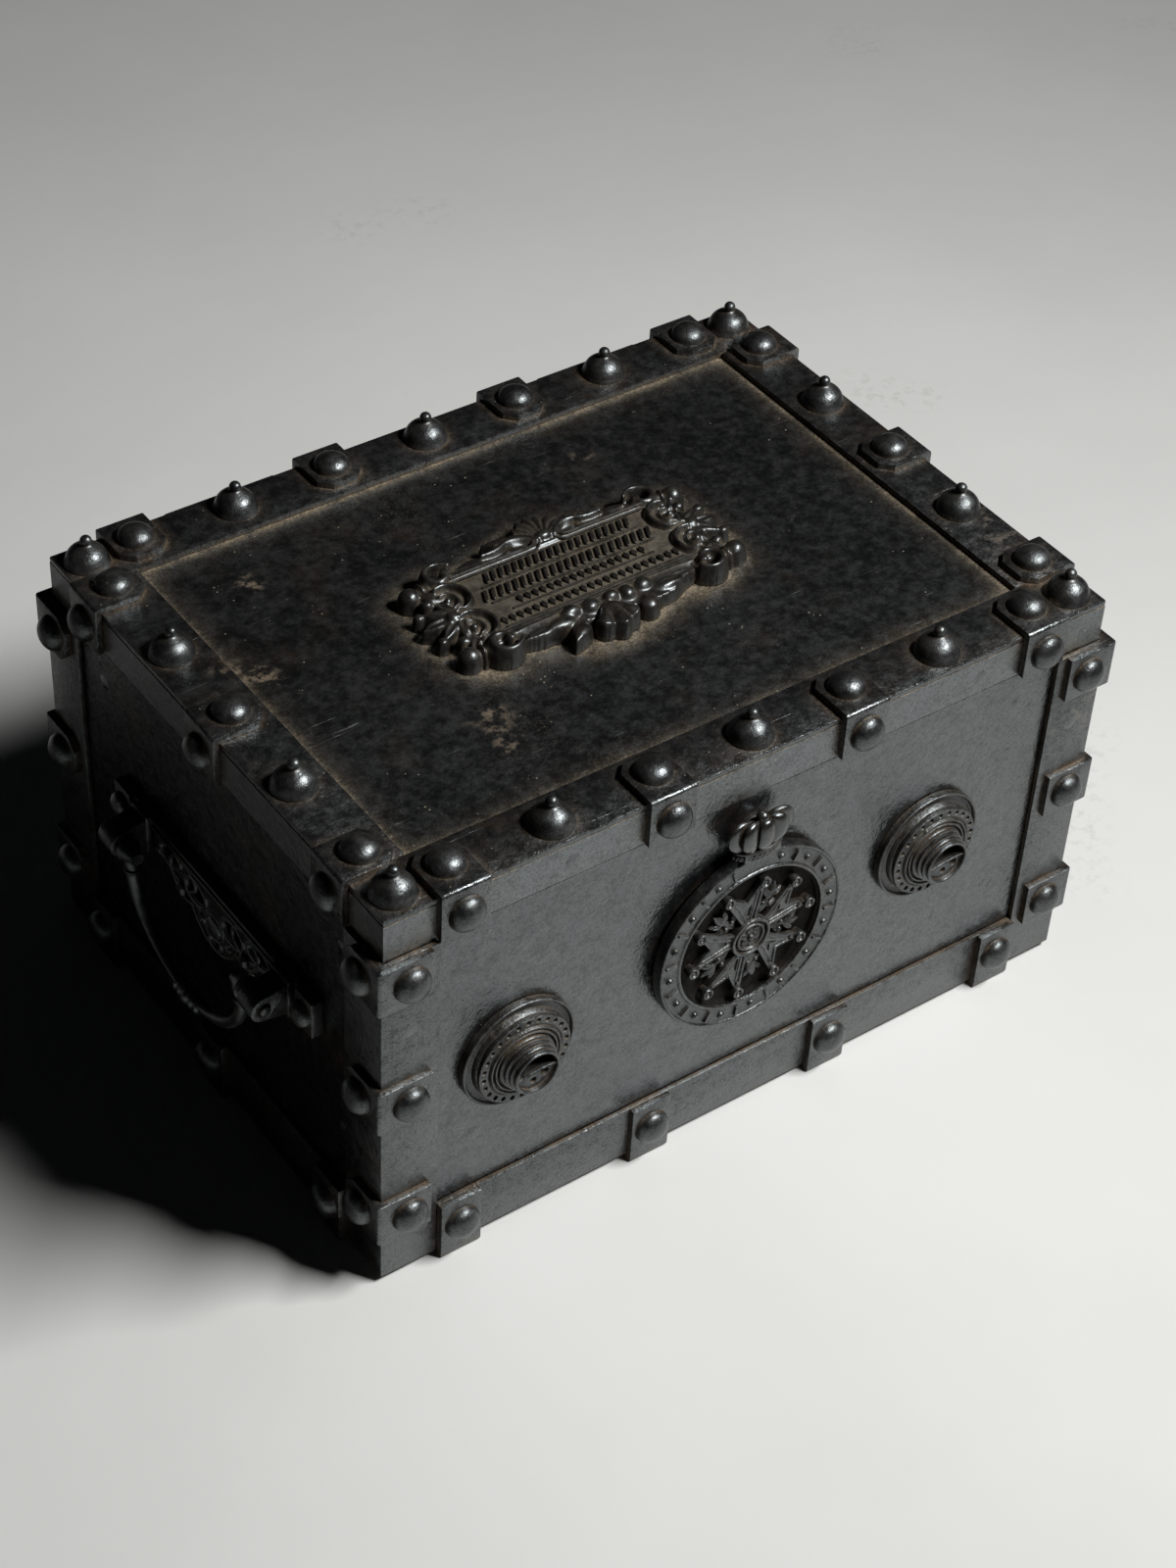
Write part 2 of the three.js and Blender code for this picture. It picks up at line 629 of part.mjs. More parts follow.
function dialPlate(dial) {
  const r = dialRadius;
  const t = dialThick;
  const bore = spindleRadius - 1;
  const ridge = r - dialBand;
  const face = t - dialHollow;
  const body = turned([[bore, 0], [r, 0], [r, t], [ridge, t], [ridge - 1.2, t + 1.3], [ridge - 3.4, face],
    [bore, face], [bore, 0]], 16);
  return placed(body, facing(dial.x, dial.z, dialBackY()));
}

// Stepped grip with a dished face and finger hollows round it
function grip(dial) {
  const r = gripRadius;
  const h = gripHeight;
  let body = turned([[0, 0], [r + 1.2, 0], [r + 1.2, 2.6], [r - 0.2, 3.2], [r, 5.8], [r - 1.4, 6.4], [r - 1.3, h],
    [r - 3.4, h], [r - 5, h - 2.2], [0, h - 3]], 16);
  const hollow = placed(solid(new THREE.SphereGeometry(3.4, 6, 4)), move(r - 5.4, 0, h));
  for (let i = 0; i < gripLobes; i += 1) {
    body = body.subtract(placed(hollow, turnZ(((i + 0.5) * 2 * Math.PI) / gripLobes)));
  }
  return placed(body, facing(dial.x, dial.z, dialFaceY()));
}

const dialBackY = () => -halfDepth - gap - rosetteThick - dialClear;
const dialFaceY = () => dialBackY() - dialThick + dialHollow - gap;

function spindle(dial) {
  const front = dialFaceY() + gap + 0.9;
  const back = lockBackY - 4;
  const r = spindleRadius;
  const thin = r - 1 - gap;
  const low = wheelThick + gap;
  const high = back - dialBackY() - gap;
  const body = turned([[0, 0], [thin, 0], [thin, low], [r, low], [r, high], [thin, high], [thin, back - front],
    [0, back - front]], 8);
  return placed(body, facing(dial.x, dial.z, back));
}

function wheel(dial) {
  const bore = spindleRadius - 1;
  let body = turned([[bore, 0], [wheelRadius, 0], [wheelRadius, wheelThick * 0.5], [bore + 4, wheelThick * 0.5],
    [bore + 4, wheelThick], [bore, wheelThick], [bore, 0]], 10);
  const notch = block([-wheelNotch / 2, wheelNotch / 2], [wheelRadius - 5, wheelRadius + 1], [-1, wheelThick + 1]);
  body = body.subtract(notch);
  return placed(body, facing(dial.x, dial.z, lockBackY - 4));
}

// Keyhole cover
const coverFaceY = () => -halfDepth - coverBack;
const inCover = (body) => placed(body, facing(coverX, coverZ, coverFaceY()));

// Dished ring with a thin floor, and an eye above it for the pivot
function coverRing() {
  const o = coverOuter;
  const i = coverInner;
  const t = coverThick;
  const ring = turned([[0, 0], [o, 0], [o, t - 1], [o - 1.2, t], [i + 0.8, t], [i - 1.4, coverFloor],
    [0, coverFloor]], 24);
  const neck = polygon([[-7, o - 2], [7, o - 2], [5.5, pivotRise + 4], [-5.5, pivotRise + 4]]);
  const eye = placed(disc(8, coverEye, 12), move(0, pivotRise, 0));
  const bore = placed(disc(pivotRadius + gap, t + 2, 8), move(0, pivotRise, -1));
  return inCover(join([ring, raised(neck, coverEye), eye]).subtract(bore));
}

// Openwork star: each arm widens to two points that end in balls, with a leaf spray between the arms
function coverStar() {
  const t = 2.2;
  const arm = new THREE.Shape();
  const tip = starReach;
  const root = 3.2; // half the width of an arm at the boss
  arm.moveTo(-root, starBoss - 2);
  arm.lineTo(root, starBoss - 2);
  arm.lineTo(starSplay + 1.4, tip - 1.2);
  arm.lineTo(starSplay - 1.6, tip);
  arm.lineTo(0, tip - starNotch);
  arm.lineTo(1.6 - starSplay, tip);
  arm.lineTo(-starSplay - 1.4, tip - 1.2);
  const slit = new THREE.Path();
  slit.moveTo(0, starBoss + 3);
  slit.lineTo(starSplay / 3, tip - starNotch - 3);
  slit.lineTo(-starSplay / 3, tip - starNotch - 3);
  arm.holes.push(slit);
  const leaf = new THREE.Shape();
  leaf.moveTo(-1.2, starBoss - 2);
  const middle = starBoss + starLeafLong / 2;
  leaf.quadraticCurveTo(-starLeafBow, middle, 0, starBoss + starLeafLong);
  leaf.quadraticCurveTo(starLeafBow, middle, 1.2, starBoss - 2);
  const ball = turned([[0, 0], [starBall, 0], [starBall * 0.85, starBall], [0, starBall * 1.6]], 5);
  const boss = turned([[0, 0], [starBoss, 0], [starBoss, t + 1.4], [starBoss - 2, t + 1.4],
    [starBoss - 3, t + 0.4], [4.4, t + 0.4], [0, t + 2.4]], 12);
  const parts = [boss];
  for (let i = 0; i < starArms; i += 1) {
    const spin = turnZ(starTurn + (i * 2 * Math.PI) / starArms);
    const between = turnZ(starTurn + ((i + 0.5) * 2 * Math.PI) / starArms);
    parts.push(placed(raised(arm, t), spin));
    parts.push(placed(raised(leaf, t * 0.7, 3), between));
    for (const side of [-1, 1]) {
      parts.push(placed(ball, spin.clone().multiply(move(side * starSplay, tip, 0))));
    }
  }
  return placed(inCover(join(parts)), move(0, -coverFloor - gap, 0));
}

// Fluted bulb over the pivot: a squat gadrooned body on a banded foot, with a bead in the dent of its top
function bulb() {
  const n = 4 * bulbLobes;
  const rings = [[0, 0.58], [0.5, 1], [0.86, 0.84], [1, 0.5], [0.88, 0.16]];
  const dent = 0.88;
  const positions = [];
  const indices = [];
  rings.forEach(([rise, share]) => {
    for (let i = 0; i < n; i += 1) {
      const angle = (i * 2 * Math.PI) / n;
      const flute = 1 - 0.1 * (0.5 + 0.5 * Math.cos(bulbLobes * angle));
      const radius = bulbRadius * share * flute;
      const forward = radius * Math.sin(angle) * (bulbDeep / bulbRadius);
      positions.push(radius * Math.cos(angle), rise * bulbHigh, forward);
    }
  });
  for (let ring = 0; ring < rings.length - 1; ring += 1) {
    for (let i = 0; i < n; i += 1) {
      const a = ring * n + i;
      const b = ring * n + ((i + 1) % n);
      indices.push(a, a + n, b, b, a + n, b + n);
    }
  }
  const low = positions.length / 3;
  positions.push(0, 0, 0, 0, dent * bulbHigh, 0);
  for (let i = 0; i < n; i += 1) {
    const top = (rings.length - 1) * n;
    indices.push(low, i, (i + 1) % n, low + 1, top + ((i + 1) % n), top + i);
  }
  const geometry = new THREE.BufferGeometry();
  geometry.setAttribute("position", new THREE.Float32BufferAttribute(positions, 3));
  geometry.setIndex(indices);
  const body = solid(geometry);
  const foot = block([-bulbFootWide / 2, bulbFootWide / 2], [-bulbFoot, 0.6], [-bulbDeep * 0.6, bulbDeep * 0.62]);
  const band = block([-bulbBandWide / 2, bulbBandWide / 2], [-2.6, -0.8], [-bulbDeep * 0.7, bulbDeep * 0.74]);
  const bead = placed(solid(new THREE.SphereGeometry(bulbBead, 8, 5)), move(0, bulbHigh, 0));
  const back = coverEye + gap;
  const reach = bulbRadius + bulbHigh;
  const front = block([-reach, reach], [-reach, reach], [back, back + reach]);
  const centred = placed(join([body, foot, band, bead]), move(0, coverOuter + gap + bulbFoot, back));
  const bore = placed(disc(pivotRadius + gap, back + pivotSink, 8), move(0, pivotRise, 0));
  return inCover(centred.intersect(placed(front, move(0, pivotRise, 0))).subtract(bore));
}

function pivotPin() {
  const back = coverBack;
  const front = coverEye + pivotSink;
  const pin = turned([[0, -back + gap], [6, -back + gap], [6, -gap], [pivotRadius, -gap], [pivotRadius, front],
    [0, front]], 8);
  return inCover(placed(pin, move(0, pivotRise, 0)));
}

// Cartouche of the lid: a sunk panel between thin rules, set in scrolls, beads, shells and leaves
function crescent(radius, band, from, to) {
  const shape = new THREE.Shape();
  shape.absarc(0, 0, radius, from, to, false);
  shape.absarc(0, 0, radius - band, to, from, true);
  return shape;
}

function scroll(signX, signY) {
  const curl = raised(crescent(scrollRadius, scrollBand, -0.5 * Math.PI, 1.05 * Math.PI), scrollHigh, 3);
  const eye = placed(turned([[0, 0], [3, 0], [3, scrollHigh - 1], [0, scrollHigh + 0.8]], 6),
    move(scrollRadius - scrollBand - 1.6, -1, 0));
  const edge = plaqueDeep / 2;
  const outward = placed(join([curl, eye]), move(scrollOut, edge + scrollRise, 0));
  const bead = rivet(beadRadius, beadRadius);
  const ball = placed(bead, move(-beadOut, edge + 1, 1.5));
  const stalk = raised(polygon([[-beadOut - 1, edge - 2], [-beadOut - 1, edge + 4], [2, edge + stalkRise],
    [scrollOut, edge - 2]]), 3);
  const flip = new THREE.Matrix4().makeScale(-signX, signY, 1);
  return placed(placed(join([outward, ball, stalk]), flip), move(signX * plaqueWide / 2, 0, 0));
}

// Outline of lobes that fan out round +Y, for shells and leaf sprays
function fan(lobes, spread, inner, reach, bulge) {
  const shape = new THREE.Shape();
  const at = (angle, radius) => [radius * Math.sin(angle), radius * Math.cos(angle)];
  shape.moveTo(...at(spread / 2, inner));
  for (let i = lobes - 1; i >= 0; i -= 1) {
    const from = (i / lobes - 0.5) * spread;
    const middle = from + spread / lobes / 2;
    const tip = reach * (1 - 0.15 * Math.abs(middle));
    shape.quadraticCurveTo(...at(middle + bulge, (inner + tip) / 2), ...at(middle, tip));
    shape.quadraticCurveTo(...at(middle - bulge, (inner + tip) / 2), ...at(from, inner));
  }
  shape.lineTo(0, 0);
  return shape;
}

function shell(signY) {
  const spread = 2.5;
  const fluted = raised(fan(shellRibs, spread, shellRadius - 5, shellRadius, 0.22), 3.6, 2);
  const heart = placed(rivet(6, 3.6), move(0, 5, 3.6));
  const flip = new THREE.Matrix4().makeScale(1, signY, 1);
  return placed(placed(join([fluted, heart]), flip), move(0, signY * (plaqueDeep / 2 - 1), 0));
}

// Leaf band along a long edge of the plaque, on both sides of the shell
function leafBand(signY) {
  const parts = [];
  for (const signX of [-1, 1]) {
    const lean = signX * signY * 0.9;
    const spray = raised(fan(3, 1.7, sprayHeart - 1, bandReach, 0.3), 3.8, 2);
    const flip = new THREE.Matrix4().makeScale(1, signY, 1);
    const place = move(signX * bandX, plaqueDeep / 2 - 1, 0).premultiply(flip);
    parts.push(placed(placed(spray, turnZ(-lean * signY)), place));
  }
  return join(parts);
}

// Leaf rosette at a short end of the plaque
function endCluster(signX) {
  const leaves = placed(raised(fan(5, 3.4, sprayHeart, sprayReach, 0.3), 3.6, 2), turnZ(-signX * quarter));
  const heart = placed(rivet(5, 4.6), move(0, 0, 3.4));
  return placed(join([leaves, heart]), move(signX * (plaqueWide / 2 + 6), 0, 0));
}

function cartouche() {
  const w = plaqueWide / 2;
  const d = plaqueDeep / 2;
  const rule = 1.8;
  let plaque = block([-w - 3, w + 3], [-d - plaqueEdge, d + plaqueEdge], [0, plaqueThick]);
  const sunk = [plaqueThick - 0.9, plaqueThick + 1];
  plaque = plaque.subtract(block([rule - w, w - rule], [rule - d, d - rule], sunk));
  const parts = [plaque];
  for (const row of [-1, 0, 1]) {
    const y = (row * (plaqueDeep - 2 * rule)) / 4;
    parts.push(block([4 - w, w - 4], [y - 0.4, y + 0.4], [plaqueThick - 1.2, plaqueThick - 0.3]));
  }
  for (const signX of [-1, 1]) {
    for (const signY of [-1, 1]) parts.push(scroll(signX, signY));
    parts.push(endCluster(signX));
  }
  for (const signY of [-1, 1]) parts.push(shell(signY), leafBand(signY));
  const floorTop = block([rule - w, w - rule], [rule - d, d - rule], [plaqueThick, 3 * scrollHigh]);
  return placed(join(parts).subtract(floorTop), move(plaqueX, plaqueY, shellTopZ + gap));
}

// Bail handles: local frame with the wall at x = 0, outward +X, along the wall Y, up Z
function strapOutline() {
  const s = new THREE.Shape();
  const l = strapLong;
  const d = strapDrop;
  s.moveTo(l, -strapFoot);
  s.lineTo(l, strapRise);
  s.lineTo(-l, strapRise);
  s.lineTo(-l, -strapFoot);
  s.lineTo(-0.68 * l, -strapFoot);
  s.quadraticCurveTo(-0.5 * l, -0.13 * d, -0.43 * l, -0.4 * d);
  s.quadraticCurveTo(-0.34 * l, -0.73 * d, -0.23 * l, -0.57 * d);
  s.quadraticCurveTo(-0.14 * l, -d, 0, -d);
  s.quadraticCurveTo(0.14 * l, -d, 0.23 * l, -0.57 * d);
  s.quadraticCurveTo(0.34 * l, -0.73 * d, 0.43 * l, -0.4 * d);
  s.quadraticCurveTo(0.5 * l, -0.13 * d, 0.68 * l, -strapFoot);
  return s;
}

function oval(x, y, radiusX, radiusY) {
  const path = new THREE.Path();
  path.absellipse(x, y, radiusX, radiusY, 0, 2 * Math.PI, false);
  return path;
}

// Pierced back strap in relief: rails along the top, openwork below, square studs and a rivet block at each end
function strap() {
  const l = strapLong;
  const d = strapDrop;
  const outline = strapOutline();
  outline.holes.push(oval(0, -0.8 * d, 0.12 * d, 0.1 * d));
  for (const sign of [-1, 1]) {
    outline.holes.push(oval(sign * 0.45 * l, -0.02 * d, 0.09 * l, 0.13 * d));
    outline.holes.push(oval(sign * 0.19 * l, -0.18 * d, 0.09 * l, 0.18 * d));
  }
  const parts = [raised(outline, strapThick, 3)];
  const railEnd = lugY - 1;
  for (const share of [0.98, 0.6]) {
    const top = strapRise * share;
    parts.push(block([-railEnd, railEnd], [top - strapRailWide, top], [1, strapThick + strapRail]));
  }
  const blockTop = strapThick + 2.4;
  for (const sign of [-1, 1]) {
    const ends = [sign * (l - strapBlock), sign * (l + 0.5)].sort((a, b) => a - b);
    parts.push(block(ends, [-strapFoot - 0.5, strapRise + 0.5], [0.5, blockTop]));
    parts.push(placed(rivet(strapRivet, strapRivetHigh), move(sign * (l - strapBlock / 2), 1, blockTop)));
    const half = strapStud / 2;
    const stud = block([-half, half], [-half, half], [1, blockTop + 1]);
    parts.push(placed(stud, move(sign * 0.32 * l, -0.4 * d, 0)));
  }
  parts.push(placed(rivet(0.2 * d, strapBossHigh), move(0, -d / 2, strapThick)));
  // outline x runs along the wall, outline y up, and the thickness outward
  const stand = new THREE.Matrix4().set(0, 0, 1, 0, 1, 0, 0, 0, 0, 1, 0, 0, 0, 0, 0, 1);
  return placed(join(parts), stand);
}

// Lug with the eye for the bail's pin, tapering out from a foot on the strap
function lug(sign) {
  const foot = 10;
  const base = strapThick + 2 * gap;
  const shape = new THREE.Shape();
  shape.moveTo(base, -foot);
  shape.lineTo(lugOut - 2, -lugRadius);
  shape.absarc(lugOut, 0, lugRadius, -quarter, quarter, false);
  shape.lineTo(lugOut - 2, lugRadius);
  shape.lineTo(base, foot);
  const eye = new THREE.Path();
  eye.absarc(lugOut, 0, bailPinRadius + bailPinClear, 0, 2 * Math.PI, false);
  shape.holes.push(eye);
  const body = raised(shape, lugWide, 5);
  const from = sign > 0 ? lugY : -lugY - lugWide;
  // outline x runs outward, outline y up, and the thickness along the wall
  const stand = new THREE.Matrix4().set(1, 0, 0, 0, 0, 0, -1, from + lugWide, 0, 1, 0, 0, 0, 0, 0, 1);
  return placed(body, stand);
}

class BailCurve extends THREE.Curve {
  getPoint(t, target = new THREE.Vector3()) {
    const half = lugY - bailInset;
    const angle = Math.PI * t;
    const bulge = 0.86 + 0.14 * Math.abs(Math.cos(angle));
    const drop = bailDrop * Math.pow(Math.sin(angle), 0.8);
    return target.set(lugOut, -half * Math.cos(angle) * bulge, -drop);
  }
}

// U-shaped bail with a turned knop in the middle, and collars and pins where it enters the lugs
function bail() {
  const section = new THREE.Shape();
  section.absarc(0, 0, bailRadius, 0, 2 * Math.PI, false);
  const tube = new THREE.ExtrudeGeometry(section, { steps: 12, curveSegments: 3, extrudePath: new BailCurve() });
  const parts = [solid(tube)];
  const waist = bailRadius - 0.6;
  const end = bailKnopLong / 2;
  const ring = 0.75 * end;
  const neck = end / 2;
  const knop = turned([[0, -end], [waist, -end], [bailRadius + 1.4, -ring], [waist + 1, -neck], [bailKnop, 0],
    [waist + 1, neck], [bailRadius + 1.4, ring], [waist, end], [0, end]], 6);
  parts.push(placed(knop, move(lugOut, 0, -bailDrop).multiply(turnX(quarter))));
  const inner = lugY - bailInset;
  const bell = bailRadius + 2.6;
  const pin = turned([[0, -5], [bailRadius, -5], [bell, 1], [bell, 3], [bailPinRadius, bailInset - 0.8],
    [bailPinRadius, bailInset + lugWide + 1], [0, bailInset + lugWide + 2]], 6);
  for (const sign of [-1, 1]) {
    parts.push(placed(pin, move(lugOut, sign * inner, 0).multiply(turnX(-sign * quarter))));
  }
  return join(parts);
}

function handle(side, sign) {
  const lay = move(sign * (halfWidth + gap), handleY, handleZ).multiply(new THREE.Matrix4().makeScale(sign, 1, 1));
  return [
    piece(`${side}_handle_strap`, placed(strap(), lay), castIron),
    piece(`${side}_lug_front`, placed(lug(-1), lay), castIron),
    piece(`${side}_lug_rear`, placed(lug(1), lay), castIron),
    piece(`${side}_bail`, placed(bail(), lay), castIron),
  ];
}

function dialPieces(dial) {
  return [
    piece(`${dial.name}_rosette`, rosette(dial), castIron),
    piece(`${dial.name}_dial`, dialPlate(dial), castIron),
    piece(`${dial.name}_grip`, grip(dial), castIron),
    piece(`${dial.name}_spindle`, spindle(dial), steel),
    piece(`${dial.name}_wheel`, wheel(dial), brass),
  ];
}

function hingePieces(name, x) {
  return [
    piece(`${name}_hinge_body_leaf`, hingeLeaf(x, false), iron),
    piece(`${name}_hinge_lid_leaf`, hingeLeaf(x, true), iron),
    piece(`${name}_hinge_pin`, hingePin(x), iron),
  ];
}

const strongbox = new THREE.Group();
strongbox.add(...outerPlates());
strongbox.add(piece("inner_box", innerBox(), lining));
strongbox.add(piece("fireproof_filling", filling(), plaster));
for (const [depthName, y] of [["front", -1], ["back", 1]]) {
  for (const [widthName, x] of [["left", -1], ["right", 1]]) {
    strongbox.add(piece(`corner_angle_${depthName}_${widthName}`, cornerAngle(x, y), iron));
  }
}
for (const side of sides) {
  strongbox.add(piece(`bottom_bar_${side.name}`, bottomBar(side), iron));
  strongbox.add(piece(`lid_bar_${side.name}`, lidBar(side), iron));
}
strongbox.add(piece("lock_case", lockCase(), steel));
strongbox.add(piece("lock_bolt", lockBolt(), steel));
strongbox.add(piece("keyhole_escutcheon", escutcheon(), brass));
strongbox.add(piece("lid_shell", lidShell(), panelIron));
strongbox.add(piece("lid_filling", lidFilling(), plaster));
strongbox.add(piece("lid_inner_plate", lidInnerPlate(), lining));
stapleXs().forEach((x, i) => strongbox.add(piece(["left_staple", "right_staple"][i], staple(x), steel)));
strongbox.add(piece("cartouche", cartouche(), castIron));
strongbox.add(...hingePieces("left", -hingeX), ...hingePieces("right", hingeX));
for (const dial of dials) strongbox.add(...dialPieces(dial));
strongbox.add(piece("medallion_ring", coverRing(), castIron));
strongbox.add(piece("medallion_star", coverStar(), castIron));
strongbox.add(piece("medallion_bulb", bulb(), castIron));
strongbox.add(piece("medallion_pivot", pivotPin(), steel));
strongbox.add(...handle("left", -1), ...handle("right", 1));

// The origin lies under the middle of everything that stands out, so the group moves by half the difference
const frontReach = -(dialFaceY() - gripHeight);
const backReach = halfDepth + gap + barThick + clipThick + rivetHeight;
strongbox.position.y = (frontReach - backReach) / 2;

export default strongbox;
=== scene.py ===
import json
from math import atan2, cos, exp, pi, radians, sin

import bmesh
import bpy
import numpy as np
from mathutils import Matrix, Vector


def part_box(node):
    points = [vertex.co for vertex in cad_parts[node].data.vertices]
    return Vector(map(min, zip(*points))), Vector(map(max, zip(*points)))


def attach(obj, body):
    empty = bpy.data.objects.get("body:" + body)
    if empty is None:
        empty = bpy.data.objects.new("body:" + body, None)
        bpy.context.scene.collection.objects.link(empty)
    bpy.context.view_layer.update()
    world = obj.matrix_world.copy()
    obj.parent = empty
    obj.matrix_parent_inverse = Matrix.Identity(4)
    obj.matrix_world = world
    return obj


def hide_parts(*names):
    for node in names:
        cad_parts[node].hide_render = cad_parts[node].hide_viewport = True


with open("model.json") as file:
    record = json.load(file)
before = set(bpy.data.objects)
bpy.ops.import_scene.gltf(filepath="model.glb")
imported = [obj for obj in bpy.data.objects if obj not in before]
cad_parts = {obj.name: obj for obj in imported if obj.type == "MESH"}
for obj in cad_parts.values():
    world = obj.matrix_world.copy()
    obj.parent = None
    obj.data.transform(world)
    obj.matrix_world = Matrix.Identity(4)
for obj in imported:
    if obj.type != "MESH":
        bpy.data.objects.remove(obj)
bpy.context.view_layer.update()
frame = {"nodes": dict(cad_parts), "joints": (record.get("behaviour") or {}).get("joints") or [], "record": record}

TAU = 2 * pi
QUARTER = pi / 2

# The box's middle lies SHIFT_Y metres behind the frame's origin
X, Y, Z = 0, 1, 2
SHIFT_Y = (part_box("front_plate")[0][Y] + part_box("back_plate")[1][Y]) / 2


def own(metres, axis):
    """A coordinate of the frame as millimetres in the box's own frame."""
    return round((metres - (SHIFT_Y if axis == Y else 0)) * 1000, 2)


def low_side(node, axis):
    return own(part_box(node)[0][axis], axis)


def high_side(node, axis):
    return own(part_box(node)[1][axis], axis)


def middle(node, axis):
    return (low_side(node, axis) + high_side(node, axis)) / 2


# Sizes in millimetres, in the box's own frame: x and y from its middle, z from the floor
HALF_W = high_side("right_plate", X)
HALF_D = high_side("back_plate", Y)
SEAM_Z = low_side("lid_shell", Z)
GAP = 0.3        # between a fitting and the plate behind it
CLIP_T = 3.5     # thickness of the folded clips,
BAR_T = 3.0      # of the lid's bars
ANGLE_T = 2.5    # and of the angles
LEG = 30.0       # width of a lid bar and of a corner angle's legs
INSET = 13.0     # of a rivet or finial from the edge
END_CLIP = 38.8  # of the last clip of a bar from the box's corner
LID_TOP = round(high_side("lid_shell", Z) + GAP + BAR_T, 2)
WORLD = Matrix.Translation((0, SHIFT_Y, 0)) @ Matrix.Scale(0.001, 4)
NODES = frame["nodes"]
STAND = Matrix(((0, 0, 1, 0), (1, 0, 0, 0), (0, 1, 0, 0), (0, 0, 0, 1)))   # lays a shape's XY plane in YZ


# Meshes: a shape is a list of points and a list of faces
def move(x, y, z):
    return Matrix.Translation((x, y, z))


def turn(angle, axis):
    return Matrix.Rotation(angle, 4, axis)


def mirror(x, y, z):
    return Matrix.Diagonal((x, y, z, 1))


def strip(low, high):
    """Quads between two closed rings of vertex numbers."""
    n = len(low)
    return [[low[k], low[(k + 1) % n], high[(k + 1) % n], high[k]] for k in range(n)]


def rect(x, y):
    return [(x[0], y[0]), (x[1], y[0]), (x[1], y[1]), (x[0], y[1])]


def lathe(profile, segments):
    """A closed body of revolution about Z; its profile starts and ends on the axis, or is a closed ring."""
    verts, faces, rings = [], [], []
    for r, z in profile:
        if abs(r) < 1e-6:
            verts.append((0, 0, z))
            rings.append([len(verts) - 1] * segments)
        else:
            rings.append([len(verts) + i for i in range(segments)])
            verts += [(r * cos(TAU * i / segments), r * sin(TAU * i / segments), z) for i in range(segments)]
    for low, high in zip(rings, rings[1:]):
        for quad in strip(low, high):
            face = [v for k, v in enumerate(quad) if v not in quad[:k]]
            if len(face) > 2:
                faces.append(face)
    return verts, faces


def smooth_profile(points, steps):
    """Catmull-Rom points through a turned profile."""
    out = []
    p = [points[0]] + list(points) + [points[-1]]
    for i in range(1, len(p) - 2):
        a, b, c, d = (Vector(q) for q in p[i - 1:i + 3])
        for k in range(steps):
            t = k / steps
            out.append(tuple(0.5 * ((2 * b) + (c - a) * t + (2 * a - 5 * b + 4 * c - d) * t * t
                                    + (3 * b - a - 3 * c + d) * t ** 3)))
    out.append(tuple(points[-1]))
    return [(max(r, 0.0), z) for r, z in out]


def prism(outline, low, high):
    n = len(outline)
    verts = [(x, y, low) for x, y in outline] + [(x, y, high) for x, y in outline]
    low_ring, high_ring = list(range(n)), list(range(n, 2 * n))
    return verts, [low_ring[::-1], high_ring] + strip(low_ring, high_ring)


def rounded(bm, width, segments, angle):
    """The shape of a bmesh, with the edges that are sharper than angle rounded."""
    bmesh.ops.recalc_face_normals(bm, faces=bm.faces)
    edges = [e for e in bm.edges if len(e.link_faces) == 2 and e.calc_face_angle(0) > radians(angle)]
    bmesh.ops.bevel(bm, geom=edges, offset=width, segments=segments, profile=0.5, affect="EDGES",
                    clamp_overlap=True)
    bm.verts.index_update()
    shape = [tuple(v.co) for v in bm.verts], [[v.index for v in f.verts] for f in bm.faces]
    bm.free()
    return shape


def bevelled(shape, width=0.5, segments=2):
    bm = bmesh.new()
    verts = [bm.verts.new(v) for v in shape[0]]
    for f in shape[1]:
        bm.faces.new([verts[i] for i in f])
    return rounded(bm, width, segments, 25)


def cuboid(x, y, z, width):
    return bevelled(prism(rect(x, y), *z), width)


def sweep(points, radii, sides, flat=1.0):
    """A tube of changing radius along points, pinched by flat in Z, with rounded ends."""
    pts = [Vector(p) for p in points]
    verts, faces, rings = [], [], []
    up = Vector((0, 0, 1))
    for i, p in enumerate(pts):
        ahead = (pts[min(i + 1, len(pts) - 1)] - pts[max(i - 1, 0)]).normalized()
        side = ahead.cross(up)
        side = side.normalized() if side.length > 1e-4 else Vector((1, 0, 0))
        over = side.cross(ahead).normalized()
        rings.append([len(verts) + k for k in range(sides)])
        for k in range(sides):
            a = TAU * k / sides
            verts.append(tuple(p + side * (cos(a) * radii[i]) + over * (sin(a) * radii[i] * flat)))
    for low, high in zip(rings, rings[1:]):
        faces += strip(low, high)
    for ring, p, sign in ((rings[0], pts[0], -1), (rings[-1], pts[-1], 1)):
        other = pts[1] if sign < 0 else pts[-2]
        r = radii[0] if sign < 0 else radii[-1]
        verts.append(tuple(p + (p - other).normalized() * r * 0.6))
        tip = len(verts) - 1
        faces += [[ring[k], ring[(k + 1) % sides], tip] for k in range(sides)]
    return verts, faces


def put(shape, matrix):
    flip = matrix.to_3x3().determinant() < 0
    return [tuple(matrix @ Vector(v)) for v in shape[0]], [f[::-1] if flip else f for f in shape[1]]


def together(*shapes):
    verts, faces = [], []
    for shape in shapes:
        start = len(verts)
        verts += [tuple(v) for v in shape[0]]
        faces += [[start + i for i in f] for f in shape[1]]
    return verts, faces


def show(name, mesh):
    obj = bpy.data.objects.new(name, mesh)
    bpy.context.scene.collection.objects.link(obj)
    return obj


def mesh_of(name, verts, faces):
    """A Blender mesh whose faces all look outward."""
    mesh = bpy.data.meshes.new(name)
    mesh.from_pydata([tuple(v) for v in verts], [], faces)
    bm = bmesh.new()
    bm.from_mesh(mesh)
    bmesh.ops.recalc_face_normals(bm, faces=bm.faces)
    bm.to_mesh(mesh)
    bm.free()
    return mesh


